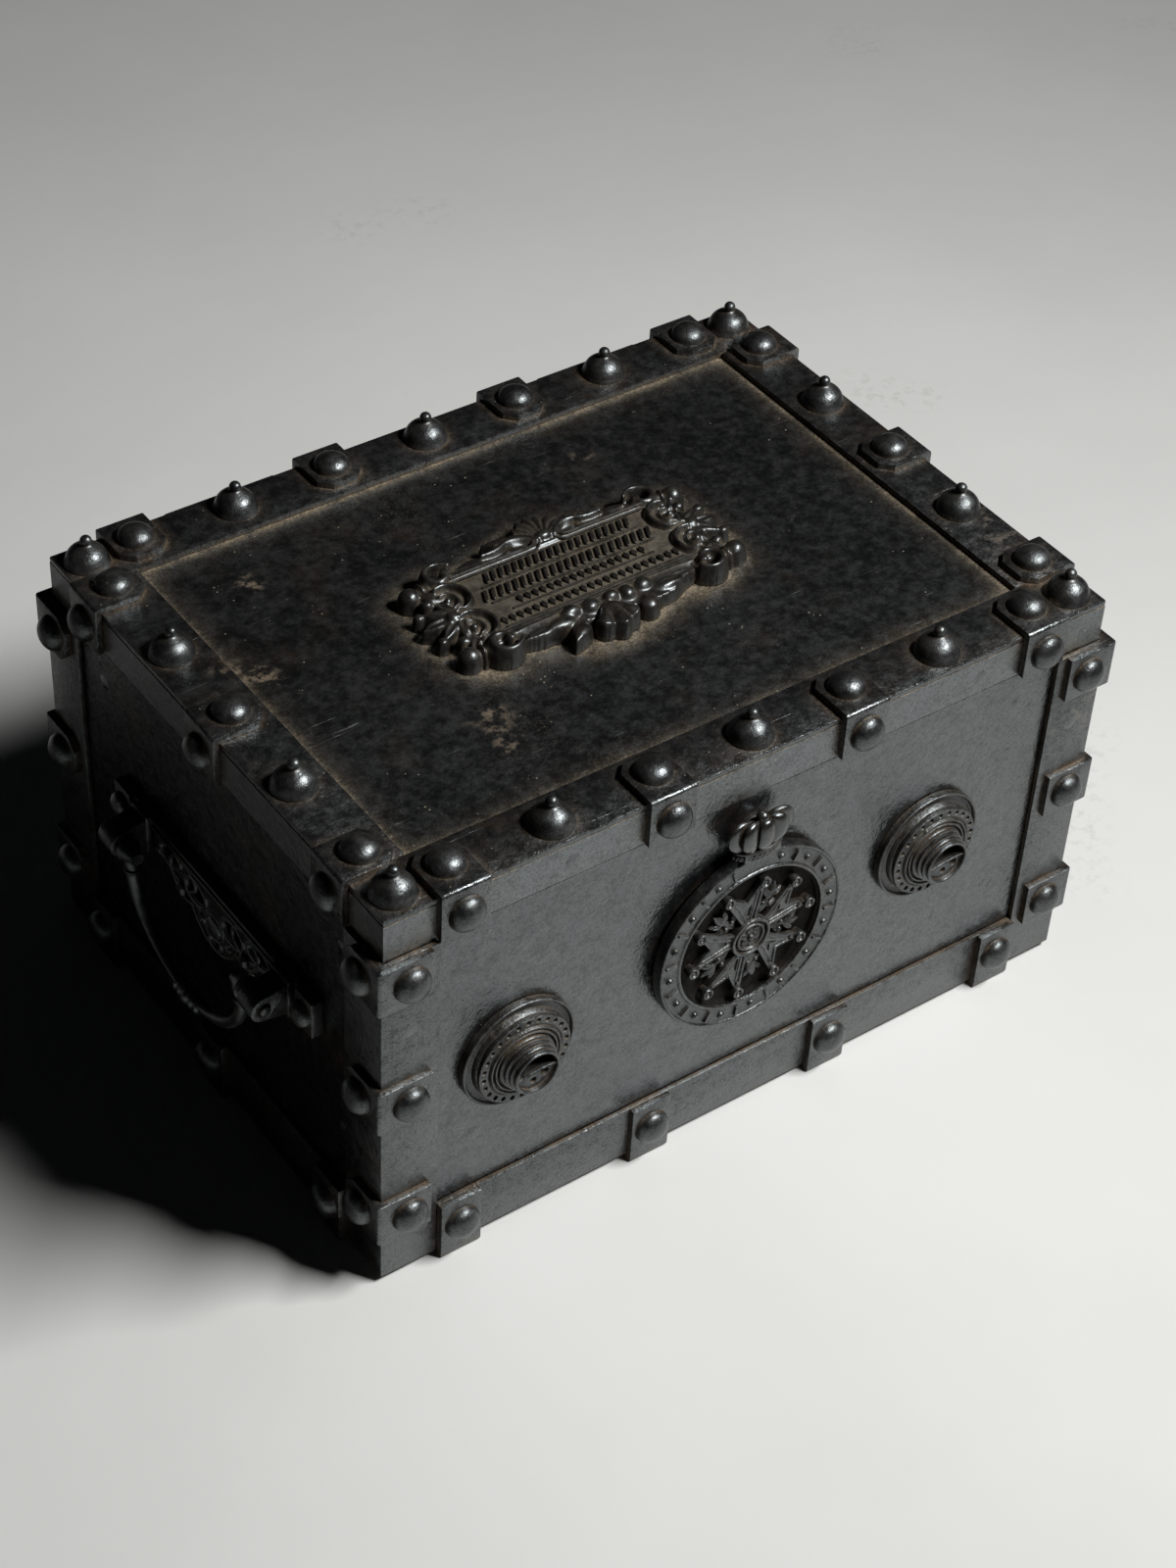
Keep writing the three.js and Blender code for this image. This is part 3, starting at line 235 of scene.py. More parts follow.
def boolean(shape, other):
    """The shape less the other one."""
    pair = [show("work", mesh_of("work", *part)) for part in (shape, other)]
    cut = pair[0].modifiers.new("cut", "BOOLEAN")
    cut.operation, cut.solver, cut.object = "DIFFERENCE", "EXACT", pair[1]
    made = pair[0].evaluated_get(bpy.context.evaluated_depsgraph_get())
    mesh = made.to_mesh()
    out = [tuple(v.co) for v in mesh.vertices], [list(p.vertices) for p in mesh.polygons]
    made.to_mesh_clear()
    for obj in pair:
        bpy.data.meshes.remove(obj.data)
    return out


def loop(points, radius, sides):
    """A closed tube along a ring of points in the XY plane."""
    verts, faces, n = [], [], len(points)
    for i, p in enumerate(points):
        a, b = Vector(points[i - 1]), Vector(points[(i + 1) % n])
        side = (b - a).normalized().cross(Vector((0, 0, 1)))
        for k in range(sides):
            t = TAU * k / sides
            verts.append(tuple(Vector(p) + side * radius * cos(t) + Vector((0, 0, radius * sin(t)))))
    rings = [range(i * sides, (i + 1) * sides) for i in range(n)]
    for low, high in zip(rings, rings[1:] + rings[:1]):
        faces += strip(low, high)
    return verts, faces


def ellipse(x, y, rx, ry, n=28, z=None):
    ring = [(x + rx * cos(TAU * i / n), y + ry * sin(TAU * i / n)) for i in range(n)]
    return ring if z is None else [(px, py, z) for px, py in ring]


def oblong(radius, half):
    """Outline of a bar with round ends along Y."""
    arc = [pi * k / 8 for k in range(9)]
    return ([(radius * cos(a), half - radius + radius * sin(a)) for a in arc]
            + [(-radius * cos(a), radius - half - radius * sin(a)) for a in arc])


def spiral(outer, inner, start, turns, n):
    line = []
    for i in range(n):
        t = i / (n - 1)
        r, a = outer + (inner - outer) * t ** 0.8, start + TAU * turns * i / (n - 1)
        line.append((r * cos(a), r * sin(a)))
    return line


def curve(points, steps=8):
    """Points through quadratic arcs given as start, control, end, control, end and so on."""
    out = [points[0]]
    for i in range(0, len(points) - 2, 2):
        a, b, c = points[i:i + 3]
        for k in range(1, steps + 1):
            t = k / steps
            out.append(tuple((1 - t) ** 2 * p + 2 * t * (1 - t) * q + t * t * r for p, q, r in zip(a, b, c)))
    return out


def ball(radius, squash=1.0, segments=20):
    rows = 12
    return lathe([(radius * sin(pi * k / rows), -radius * squash * cos(pi * k / rows))
                  for k in range(rows + 1)], segments)


def leaf(length, width, rise, thick):
    """A pointed leaf along +Y with a midrib, arched up."""
    nu, nv = 14, 9
    top, verts, faces = [], [], []
    for i in range(nu + 1):
        u = i / nu
        half = width / 2 * sin(pi * min(1, u * 0.96 + 0.04)) ** 0.75
        for j in range(nv):
            v = -1 + 2 * j / (nv - 1)
            lift = rise * sin(pi * (0.08 + u * 0.84)) * (1 - 0.45 * v * v)
            lift -= rise * 0.28 * exp(-(v / 0.2) ** 2) * sin(pi * u)
            top.append((v * half, length * u, lift))
    count = (nu + 1) * nv
    verts = top + [(x, y, min(z, 0) - thick) for x, y, z in top]
    for i in range(nu):
        for j in range(nv - 1):
            a = i * nv + j
            faces.append([a, a + 1, a + nv + 1, a + nv])
            faces.append([count + a, count + a + nv, count + a + nv + 1, count + a + 1])
        a, b = i * nv, i * nv + nv - 1
        faces.append([a, a + nv, count + a + nv, count + a])
        faces.append([b, count + b, count + b + nv, b + nv])
    for j in range(nv - 1):
        a, b = j, nu * nv + j
        faces.append([a, count + a, count + a + 1, a + 1])
        faces.append([b, b + 1, count + b + 1, count + b])
    return verts, faces


class Relief:
    """A cast relief over a grid: at each point the highest of its forms."""
    floor = -0.6

    def __init__(self, x, y, step):
        self.x, self.y = np.meshgrid(np.arange(x[0], x[1] + step, step), np.arange(y[0], y[1] + step, step),
                                     indexing="ij")
        self.h = np.full(self.x.shape, self.floor)

    def over(self, height, mask):
        self.h = np.where(mask, np.maximum(self.h, height), self.h)

    def local(self, x, y, angle):
        dx, dy = self.x - x, self.y - y
        c, s = cos(angle), sin(angle)
        return dx * c + dy * s, -dx * s + dy * c

    def knob(self, x, y, rx, ry, high, base, angle=0.0, power=0.5):
        u, v = self.local(x, y, angle)
        d = (u / rx) ** 2 + (v / ry) ** 2
        self.over(base + high * np.clip(1 - d, 0, 1) ** power, d < 1)

    def petal(self, x, y, long, wide, high, angle, base, groove=0.35):
        """A plump leaf from its root at x, y along angle, measured from +Y."""
        u, v = self.local(x, y, angle)
        t = np.clip(v / long, 0, 1)
        half = np.maximum(wide / 2 * np.sin(pi * np.clip(t, 0.001, 0.999) ** 0.62) ** 0.7, 1e-3)
        e = np.abs(u) / half
        rise = np.sin(pi * (0.12 + 0.8 * t)) ** 0.6
        height = base + high * rise * np.clip(1 - e ** 2.4, 0, 1) ** 0.5
        height = height - groove * high * np.exp(-(u / (0.12 * wide)) ** 2) * np.sin(pi * t)
        self.over(height, (v > 0) & (v < long) & (e < 1))

    def band(self, points, width, high, hollow):
        """A raised band along points, hollowed along its middle."""
        best = np.full(self.x.shape, 1e9)
        widths = width if isinstance(width, (list, tuple)) else [width] * len(points)
        for (ax, ay), (bx, by), w in zip(points, points[1:], widths):
            dx, dy = bx - ax, by - ay
            t = np.clip(((self.x - ax) * dx + (self.y - ay) * dy) / max(dx * dx + dy * dy, 1e-9), 0, 1)
            best = np.minimum(best, np.hypot(self.x - ax - t * dx, self.y - ay - t * dy) * 2 / w)
        groove = hollow * np.clip(1 - (best / 0.7) ** 2, 0, 1)
        self.over(high * np.clip(1 - best ** 5, 0, 1) ** 0.4 - groove, best < 1)

    def fan(self, x, y, radius, high, angle, spread, ribs, base):
        """A fluted shell that opens along angle, measured from +Y."""
        u, v = self.local(x, y, angle)
        r, a = np.hypot(u, v), np.arctan2(u, v)
        rib = np.abs(np.cos(ribs * pi * (a / spread + 0.5) - pi / 2))
        edge = radius * (0.88 + 0.12 * rib) * (1 - 0.1 * np.abs(a))
        swell = np.clip(r / edge, 0, 1)
        height = base + high * (0.5 + 0.5 * np.sin(pi * (0.1 + 0.75 * swell))) * (0.58 + 0.42 * rib ** 0.8)
        self.over(height, (r < edge) & (np.abs(a) < spread / 2))

    def sink(self, x, y, rx, ry, high):
        """Lowers what lies inside an ellipse."""
        inside = ((self.x - x) / rx) ** 2 + ((self.y - y) / ry) ** 2 < 1
        self.h = np.where(inside, np.minimum(self.h, high), self.h)

    def apron(self, line, inner, near, far):
        """A sloping skirt between y = inner and an edge line, from height near down to far."""
        xs, ys = zip(*line)
        edge = np.interp(self.x, xs, ys)
        side = 1 if ys[0] > inner else -1
        t = (self.y - inner) / (edge - inner)
        inside = (t > 0) & (t < 1) & (self.x > xs[0]) & (self.x < xs[-1]) & (side * (self.y - inner) > 0)
        self.over(near + (far - near) * np.clip(t, 0, 1), inside)

    def slab(self, x, y, high):
        self.over(high, (self.x > x[0]) & (self.x < x[1]) & (self.y > y[0]) & (self.y < y[1]))

    def smoothed(self, used):
        """The points of the grid, with the steps of its walls evened out."""
        points = np.stack([self.x, self.y, self.h], 2)
        live = used.astype(float)[..., None]
        for amount in (0.55, -0.4) * 5:
            total, count = np.zeros_like(points), np.zeros_like(live)
            for axis, shift in ((0, 1), (0, -1), (1, 1), (1, -1)):
                total += np.roll(points * live, shift, axis)
                count += np.roll(live, shift, axis)
            points = points + amount * live * (total / np.maximum(count, 1) - points)
        return points

    def shape(self):
        """The relief as a closed mesh with a flat back."""
        solid = self.h > self.floor
        keep = solid[:-1, :-1] | solid[1:, :-1] | solid[:-1, 1:] | solid[1:, 1:]
        used = np.zeros(self.h.shape, bool)
        for i, j in ((0, 0), (1, 0), (0, 1), (1, 1)):
            used[i:used.shape[0] - 1 + i, j:used.shape[1] - 1 + j] |= keep
        index = np.full(self.h.shape, -1)
        index[used] = np.arange(used.sum())
        top = self.smoothed(used)[used]
        count = len(top)
        back = top.copy()
        back[:, 2] = self.floor - 0.4
        a, b, c, d = index[:-1, :-1], index[1:, :-1], index[1:, 1:], index[:-1, 1:]
        quads = np.stack([a[keep], b[keep], c[keep], d[keep]], 1)
        faces = quads.tolist() + (quads[:, ::-1] + count).tolist()
        padded = np.pad(keep, 1)
        for axis, shift, (p, q) in ((0, 1, (b, c)), (0, -1, (d, a)), (1, 1, (c, d)), (1, -1, (a, b))):
            beside = np.roll(padded, -shift, axis)[1:-1, 1:-1]
            rim = keep & ~beside
            one, two = p[rim], q[rim]
            faces += np.stack([two, one, one + count, two + count], 1).tolist()
        return [tuple(v) for v in np.vstack([top, back]).tolist()], faces


class Piece:
    """Collects shapes in millimetres into one Blender object."""

    def __init__(self, name, body, slot, material, replaces=(), sharp=32):
        self.name, self.body, self.slot, self.material = name, body, slot, material
        self.replaces, self.sharp = replaces, sharp
        self.verts, self.faces = [], []

    def add(self, shape, matrix=None):
        verts, faces = put(shape, matrix or Matrix.Identity(4))
        start = len(self.verts)
        self.verts += [Vector(v) for v in verts]
        self.faces += [[start + i for i in f] for f in faces]
        return self

    def make(self):
        mesh = mesh_of(self.name, [WORLD @ v for v in self.verts], self.faces)
        mesh.shade_smooth()
        mesh.set_sharp_from_angle(angle=radians(self.sharp))
        mesh.materials.append(self.material)
        obj = show(self.name, mesh)
        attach(obj, self.body)
        if self.replaces:
            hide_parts(*self.replaces)
        return obj


def stand_in(node, body, slot, material, sharp=32):
    """The finer piece that stands for a node of the CAD."""
    return Piece(f"{node}_fine", body, slot, material, (node,), sharp)


# Materials
class Shader:
    """A new material's node tree, with short ways to add nodes to it."""

    def __init__(self, name):
        self.material = bpy.data.materials.new(name)
        self.material.use_nodes = True
        self.tree = self.material.node_tree
        self.inputs = self.tree.nodes["Principled BSDF"].inputs
        self.where = self.node("ShaderNodeTexCoord").outputs["Object"]

    def node(self, kind, **values):
        made = self.tree.nodes.new(kind)
        for key, value in values.items():
            setattr(made, key, value)
        return made

    def feed(self, socket, value):
        if hasattr(value, "is_output"):
            self.tree.links.new(value, socket)
        else:
            socket.default_value = (*value, 1) if isinstance(value, tuple) else value

    def math(self, operation, a, b, clamp=False):
        made = self.node("ShaderNodeMath", operation=operation, use_clamp=clamp)
        self.feed(made.inputs[0], a)
        self.feed(made.inputs[1], b)
        return made.outputs[0]

    def times(self, a, b, clamp=False):
        return self.math("MULTIPLY", a, b, clamp)

    def plus(self, a, b, clamp=False):
        return self.math("ADD", a, b, clamp)

    def mix(self, factor, a, b):
        made = self.node("ShaderNodeMix", data_type="RGBA")
        for index, value in ((0, factor), (6, a), (7, b)):
            self.feed(made.inputs[index], value)
        return made.outputs[2]

    def ramp(self, source, *stops):
        made = self.node("ShaderNodeValToRGB")
        made.color_ramp.interpolation = "EASE"
        while len(made.color_ramp.elements) < len(stops):
            made.color_ramp.elements.new(0.5)
        for element, (at, value) in zip(made.color_ramp.elements, stops):
            element.position = at
            element.color = (*value, 1) if isinstance(value, tuple) else (value, value, value, 1)
        self.feed(made.inputs[0], source)
        return made.outputs[0]

    def noise(self, scale, detail, rough, vector=None):
        made = self.node("ShaderNodeTexNoise")
        for key, value in (("Scale", scale), ("Detail", detail), ("Roughness", rough)):
            made.inputs[key].default_value = value
        self.feed(made.inputs["Vector"], vector or self.where)
        return made.outputs["Fac"]

    def cells(self, scale):
        made = self.node("ShaderNodeTexVoronoi")
        made.inputs["Scale"].default_value = scale
        self.feed(made.inputs["Vector"], self.where)
        return made.outputs["Distance"]

    def bump(self, height, strength, distance):
        made = self.node("ShaderNodeBump")
        made.inputs["Strength"].default_value = strength
        made.inputs["Distance"].default_value = distance
        self.feed(made.inputs["Height"], height)
        self.feed(self.inputs["Normal"], made.outputs[0])


def iron(name, dark, light, *, dust_amount, rough, bump, dust=(0.2, 0.14, 0.085), wear=0.5, hammer=140,
         specks=0.5, metallic=0.0, ior=2.2, spread=0.006, stain=0.5, halo=0.34, smears=0.0, gleam=(0.2, 0.5),
         flat=1.0):
    """Blackened iron: mottled skin, tan dust in the corners, worn edges, scratches and pale specks.

    The dust reaches as far as spread, in metres; halo is its strength away from the corner itself. The gloss
    runs between the two values of gleam, and flat is its share on faces that look up."""
    s = Shader(name)
    broad, fine, grain = s.noise(14, 6, 0.7), s.noise(160, 6, 0.7), s.noise(900, 3, 0.6)
    blotch = s.ramp(s.plus(s.times(broad, 0.25), s.times(fine, 0.75)), (0.36, 0.0), (0.66, 1.0))
    skin = s.mix(blotch, dark, light)
    # brown stains in broad patches, and dust that gathers where surfaces meet, mostly on faces that look up
    skin = s.mix(s.ramp(s.noise(21, 7, 0.75), (0.52, 0.0), (0.74, stain)), skin, (0.026, 0.018, 0.012))
    shade = s.node("ShaderNodeAmbientOcclusion", samples=8)
    shade.inputs["Distance"].default_value = spread
    near = s.ramp(shade.outputs["AO"], (0.5, 1.0), (0.8, 0.0))
    far = s.ramp(shade.outputs["AO"], (0.62, halo), (0.985, 0.0))
    patch = s.times(s.ramp(s.noise(52, 6, 0.75), (0.36, 0.25), (0.64, 1.0)),
                    s.ramp(grain, (0.4, 0.45), (0.62, 1.0)))
    plain = s.node("ShaderNodeNewGeometry").outputs["Normal"]
    parts = s.node("ShaderNodeSeparateXYZ")
    s.feed(parts.inputs[0], plain)
    upward = s.ramp(parts.outputs["Z"], (0.1, 0.55), (0.8, 1.0))
    dusty = s.times(s.times(s.math("MAXIMUM", near, far), patch), s.times(upward, dust_amount), True)
    skin = s.mix(dusty, skin, dust)
    if smears:
        # a few tan smears and a thin powder, broken up by the grain
        patches = s.times(s.ramp(s.noise(17, 2, 0.5), (0.66, 0.0), (0.74, 1.0)),
                          s.ramp(fine, (0.5, 0.0), (0.62, 1.0)))
        powder = s.times(s.ramp(s.noise(9, 3, 0.6), (0.5, 0.0), (0.8, 0.5)),
                         s.ramp(grain, (0.56, 0.0), (0.68, 1.0)))
        skin = s.mix(s.times(s.math("MAXIMUM", patches, powder), smears, True), skin, (0.17, 0.13, 0.09))
    # pale specks and fine scratches
    chosen = s.ramp(s.noise(75, 2, 0.5), (0.61, 0.0), (0.66, 1.0))
    speck = s.times(s.times(s.ramp(s.cells(300), (0.05, 1.0), (0.16, 0.0)), chosen), specks, True)
    skin = s.mix(speck, skin, (0.3, 0.26, 0.2))
    lines = s.node("ShaderNodeMapping")
    lines.inputs["Rotation"].default_value = (0.2, 0.3, 0.62)
    lines.inputs["Scale"].default_value = (22, 520, 150)
    s.feed(lines.inputs["Vector"], s.where)
    scratch = s.ramp(s.noise(1.0, 3, 0.5, lines.outputs[0]), (0.70, 0.0), (0.76, 1.0))
    scratch = s.times(scratch, specks * 0.3, True)
    skin = s.mix(scratch, skin, (0.16, 0.15, 0.14))
    # worn edges
    soft = s.node("ShaderNodeBevel", samples=6)
    soft.inputs["Radius"].default_value = 0.0009
    dot = s.node("ShaderNodeVectorMath", operation="DOT_PRODUCT")
    s.feed(dot.inputs[0], soft.outputs[0])
    s.feed(dot.inputs[1], plain)
    edge = s.ramp(dot.outputs["Value"], (0.86, 1.0), (0.995, 0.0))
    rubbed = s.times(s.times(edge, s.ramp(fine, (0.38, 0.0), (0.6, 1.0))), wear, True)
    s.feed(s.inputs["Base Color"], s.mix(rubbed, skin, (0.14, 0.14, 0.14)))
    s.inputs["Metallic"].default_value = metallic
    s.inputs["IOR"].default_value = ior
    if not metallic:
        # the skin shines unevenly: pits and grime take the gloss away; faces that look along X lose most of their
        # gloss, a painted shade that keeps the box's flanks dark, and faces that look up keep the share flat
        s.inputs["Specular Tint"].default_value = (0.9, 0.97, 1.0, 1)
        mottle = s.plus(s.times(fine, 0.45), s.times(grain, 0.55))
        gloss = s.ramp(mottle, (0.38, gleam[0]), (0.56, gleam[1]), (0.66, gleam[1] * 1.25))
        flank_painted_shade = s.ramp(s.math("ABSOLUTE", parts.outputs["X"], 0.5), (0.7, 1.0), (0.97, 0.15))
        flank_painted_shade = s.times(flank_painted_shade, s.ramp(parts.outputs["Z"], (0.5, 1.0), (0.9, flat)))
        clean = s.math("SUBTRACT", 1.0, dusty)
        s.feed(s.inputs["Specular IOR Level"], s.times(s.times(gloss, flank_painted_shade), clean, True))
    roughness = s.ramp(s.plus(s.times(fine, 0.75), s.times(broad, 0.25)), (0.36, rough[0]), (0.64, rough[1]))
    s.feed(s.inputs["Roughness"], s.plus(roughness, s.times(dusty, 0.4), True))
    # hammer marks, casting grain, pits and scratches
    marks = s.plus(s.times(s.noise(hammer, 4, 0.6), 0.55),
                   s.plus(s.plus(s.times(grain, 0.12), s.times(s.noise(hammer * 3.2, 3, 0.55), 0.34)),
                          s.times(s.ramp(s.cells(330), (0.0, 0.0), (0.3, 1.0)), 0.1)))
    s.bump(s.math("SUBTRACT", marks, s.times(scratch, 0.5)), bump, 0.0012)
    return s.material


PANEL = iron(
    "panel_iron", (0.0042, 0.0045, 0.0053), (0.0105, 0.0107, 0.0112), dust=(0.07, 0.048, 0.032),
    dust_amount=0.6, bump=0.7, rough=(0.19, 0.29), hammer=95, specks=0.5, spread=0.006, halo=0.2, stain=0.8,
    gleam=(0.29, 0.47))
# a darker, duller copy of the panel iron for the side plates: painted shade that keeps the box's flanks dark
SHADED_SIDE = iron(
    "side_iron_painted_shade", (0.003, 0.0032, 0.0038), (0.0075, 0.0076, 0.008), dust=(0.05, 0.036, 0.024),
    dust_amount=0.6, bump=0.72, rough=(0.2, 0.32), specks=0.4, spread=0.006, halo=0.2, stain=0.8,
    gleam=(0.1, 0.22))
TOP = iron(
    "lid_iron", (0.0032, 0.0032, 0.0035), (0.0094, 0.0091, 0.0088), dust=(0.28, 0.225, 0.155),
    dust_amount=1.0, bump=0.55, rough=(0.3, 0.44), specks=1.0, spread=0.015, stain=0.5, halo=0.85,
    smears=0.7, gleam=(0.38, 0.7), flat=0.5)
FRAME = iron(
    "frame_iron", (0.0045, 0.0046, 0.005), (0.013, 0.0128, 0.0125), dust_amount=0.85, bump=0.75,
    rough=(0.26, 0.4), specks=0.6, spread=0.008, stain=0.8, smears=0.4, wear=0.2, halo=0.45)
CAST = iron(
    "ornament_iron", (0.005, 0.0048, 0.0046), (0.0155, 0.0142, 0.0125), dust=(0.13, 0.095, 0.06),
    dust_amount=0.6, bump=0.6, rough=(0.28, 0.44), spread=0.003, wear=0.5, specks=0.25, hammer=220, ior=2.0,
    gleam=(0.22, 0.5))
GLOSS = iron(
    "cartouche_iron", (0.0055, 0.0051, 0.0046), (0.019, 0.0168, 0.014), dust=(0.19, 0.15, 0.1),
    dust_amount=0.85, bump=0.2, rough=(0.27, 0.4), spread=0.0035, wear=0.12, specks=0.15, hammer=240,
    ior=1.72, gleam=(0.38, 0.5))
BULB = iron(
    "bulb_iron", (0.006, 0.0056, 0.005), (0.017, 0.015, 0.0125), dust=(0.14, 0.1, 0.062), dust_amount=0.7,
    bump=0.2, rough=(0.24, 0.36), spread=0.003, wear=0.2, specks=0.15, hammer=240, ior=1.9,
    gleam=(0.42, 0.5))
DIAL = iron(
    "dial_iron", (0.006, 0.0055, 0.0048), (0.019, 0.0162, 0.0128), dust=(0.16, 0.118, 0.074),
    dust_amount=0.8, bump=0.65, rough=(0.34, 0.5), spread=0.004, wear=0.45, specks=0.25, stain=0.8,
    hammer=200, ior=2.0, gleam=(0.2, 0.46))
RAIL = iron(
    "rail_iron", (0.008, 0.0073, 0.0062), (0.024, 0.021, 0.0175), dust=(0.19, 0.15, 0.1), dust_amount=0.8,
    bump=0.15, rough=(0.42, 0.55), spread=0.003, wear=0.1, specks=0.1, ior=1.55)
GROUND = iron(
    "cartouche_ground", (0.034, 0.029, 0.022), (0.08, 0.067, 0.05), dust=(0.2, 0.155, 0.1), dust_amount=0.6,
    bump=0.4, rough=(0.55, 0.8), spread=0.002, wear=0.0, specks=0.3, ior=1.45)
POLISHED = iron(
    "polished_iron", (0.0048, 0.0047, 0.0048), (0.014, 0.0132, 0.0122), dust_amount=0.9, bump=0.36,
    rough=(0.32, 0.44), hammer=260, specks=0.25, spread=0.004, ior=1.95, gleam=(0.26, 0.5))
# near-black, matte iron for the dish behind the star and the hollows of the grips: painted shade of deep recesses
RECESS_SHADE = iron(
    "recess_painted_shade", (0.0035, 0.0031, 0.0026), (0.011, 0.0085, 0.0062), dust=(0.05, 0.036, 0.024),
    dust_amount=0.25, bump=0.6, rough=(0.7, 0.9), wear=0.0, specks=0.1, ior=1.4, stain=0.9,
    gleam=(0.15, 0.3))
STEEL = iron(
    "lock_steel", (0.3, 0.3, 0.3), (0.48, 0.48, 0.47), dust_amount=0.3, bump=0.08, rough=(0.3, 0.45),
    metallic=0.95, wear=0.2, ior=1.5, stain=0.1)
BRASS = iron(
    "lock_brass", (0.32, 0.2, 0.07), (0.58, 0.42, 0.18), dust_amount=0.3, bump=0.08, rough=(0.3, 0.5),
    metallic=0.95, wear=0.2, ior=1.5, stain=0.1)
LINING = iron(
    "lining_paint", (0.13, 0.08, 0.04), (0.3, 0.2, 0.11), dust_amount=0.4, bump=0.08, rough=(0.45, 0.7),
    ior=1.5, stain=0.2)
PLASTER = iron(
    "plaster", (0.45, 0.41, 0.33), (0.66, 0.61, 0.51), dust_amount=0.4, bump=0.4, rough=(0.85, 0.98),
    ior=1.45, wear=0.0, stain=0.05)
SLOTS = {"panel_iron": PANEL, "frame_iron": FRAME, "ornament_iron": CAST, "lock_steel": STEEL,
         "lock_brass": BRASS, "lining": LINING, "plaster": PLASTER}
slot_of = {s["node"]: s["material_slot"] for s in frame["record"]["subparts"]}
# the side plates take the darker copy of the panel iron, painted shade
for name, obj in NODES.items():
    material = {"lid_shell": TOP, "left_plate": SHADED_SIDE, "right_plate": SHADED_SIDE}.get(name) or SLOTS[slot_of[name]]
    if not obj.material_slots:
        obj.data.materials.append(material)
    for s in obj.material_slots:
        s.material = material


# Rivets, finials and clips
def dome(r=9.0, h=6.8, segments=40):
    points = [(0, -0.4), (r + 0.2, -0.4), (r + 0.2, 0.0), (r, 0.5)]
    points += [(r * cos(a), 0.5 + (h - 0.5) * sin(a)) for a in
               [QUARTER * k / 12 for k in range(1, 12)]]
    return lathe(points + [(0, h)], segments)


def finial():
    onion = smooth_profile([(11.2, 0.2), (11.1, 0.9), (10.5, 2.3), (9.8, 4.2), (8.6, 6.3), (6.6, 8.2),
                            (4.3, 9.5), (2.9, 10.2), (2.2, 10.9)], 4)
    bead = [(2.9 * cos(a), 12.4 + 2.8 * sin(a)) for a in
            [-0.75 + (QUARTER + 0.75) * k / 9 for k in range(9)]]
    return lathe([(0, -0.4), (11.2, -0.4)] + onion + bead + [(0, 15.2)], 44)


def clip(width, long, short, short_rivet=INSET, long_head=True):
    """Folded clip over an edge along X at the origin, with its long leg on top and its short leg in front."""
    bend = 1.8
    section = [(0, 0), (long, 0), (long, CLIP_T)]
    for k in range(5):
        a = QUARTER + QUARTER * k / 4
        section.append((bend - CLIP_T + bend * cos(a), CLIP_T - bend + bend * sin(a)))
    section += [(-CLIP_T, -short), (0, -short)]
    half, cut = width / 2, 6.0
    bm = bmesh.new()
    rows = [[bm.verts.new((x, y, z)) for y, z in section] for x in (-half, half)]
    n = len(section)
    bm.faces.new(rows[0])
    bm.faces.new(rows[1][::-1])
    for i in range(n):
        bm.faces.new([rows[0][i], rows[1][i], rows[1][(i + 1) % n], rows[0][(i + 1) % n]])
    for sign in (-1, 1):
        point = Vector((sign * half, long - cut, 0))
        normal = Vector((sign, 1, 0)).normalized()
        cutter = bmesh.ops.bisect_plane(bm, geom=bm.verts[:] + bm.edges[:] + bm.faces[:], plane_co=point,
                                        plane_no=normal, clear_outer=True)
        edges = [e for e in cutter["geom_cut"] if isinstance(e, bmesh.types.BMEdge)]
        bmesh.ops.contextual_create(bm, geom=edges)
    tops = [move(0, INSET, CLIP_T)] if long_head else []
    return rounded(bm, 0.45, 2, 40), tops + [move(0, -CLIP_T, -short_rivet) @ turn(QUARTER, "X")]


def place_clip(plates, heads, made, matrix):
    shape, tops = made
    plates.add(shape, matrix)
    for top in tops:
        heads.add(dome(), matrix @ top)


def side_of(name, angle, half, reach, bays):
    """One side of the box: its turn, half length and distance from the middle, and its clips and finials."""
    pitch = (half - END_CLIP) / bays
    places = range(-bays, bays + 1)
    return (name, angle, half, reach, [p * pitch for p in places if (bays - p) % 2 == 0],
            [p * pitch for p in places if (bays - p) % 2], bays == 3)


SIDES = [side_of("front", 0.0, HALF_W, HALF_D, 3), side_of("right", QUARTER, HALF_D, HALF_W, 2),
         side_of("back", 2 * QUARTER, HALF_W, HALF_D, 3), side_of("left", -QUARTER, HALF_D, HALF_W, 2)]


def lid_bar(side):
    name, angle, half, reach, clips, finials, is_long = side
    spin = turn(angle, "Z")
    plates = stand_in(f"lid_bar_{name}", "lid", "frame_iron", FRAME)
    heads = Piece(f"lid_heads_{name}", "lid", "frame_iron", POLISHED)
    inner = half if is_long else half - LEG - GAP
    plates.add(cuboid((-inner, inner), (-reach, LEG - reach), (LID_TOP - BAR_T, LID_TOP), 0.6), spin)
    for step in clips:
        made = clip(25, 26, 22.5, short_rivet=11.25)
        place_clip(plates, heads, made, spin @ move(step, -reach - GAP, LID_TOP))
    for step in finials:
        heads.add(finial(), spin @ move(step, INSET - reach, LID_TOP))
    if is_long:
        for end in (-1, 1):
            heads.add(finial(), spin @ move(end * (half - INSET), INSET - reach, LID_TOP))
    plates.make()
    heads.make()


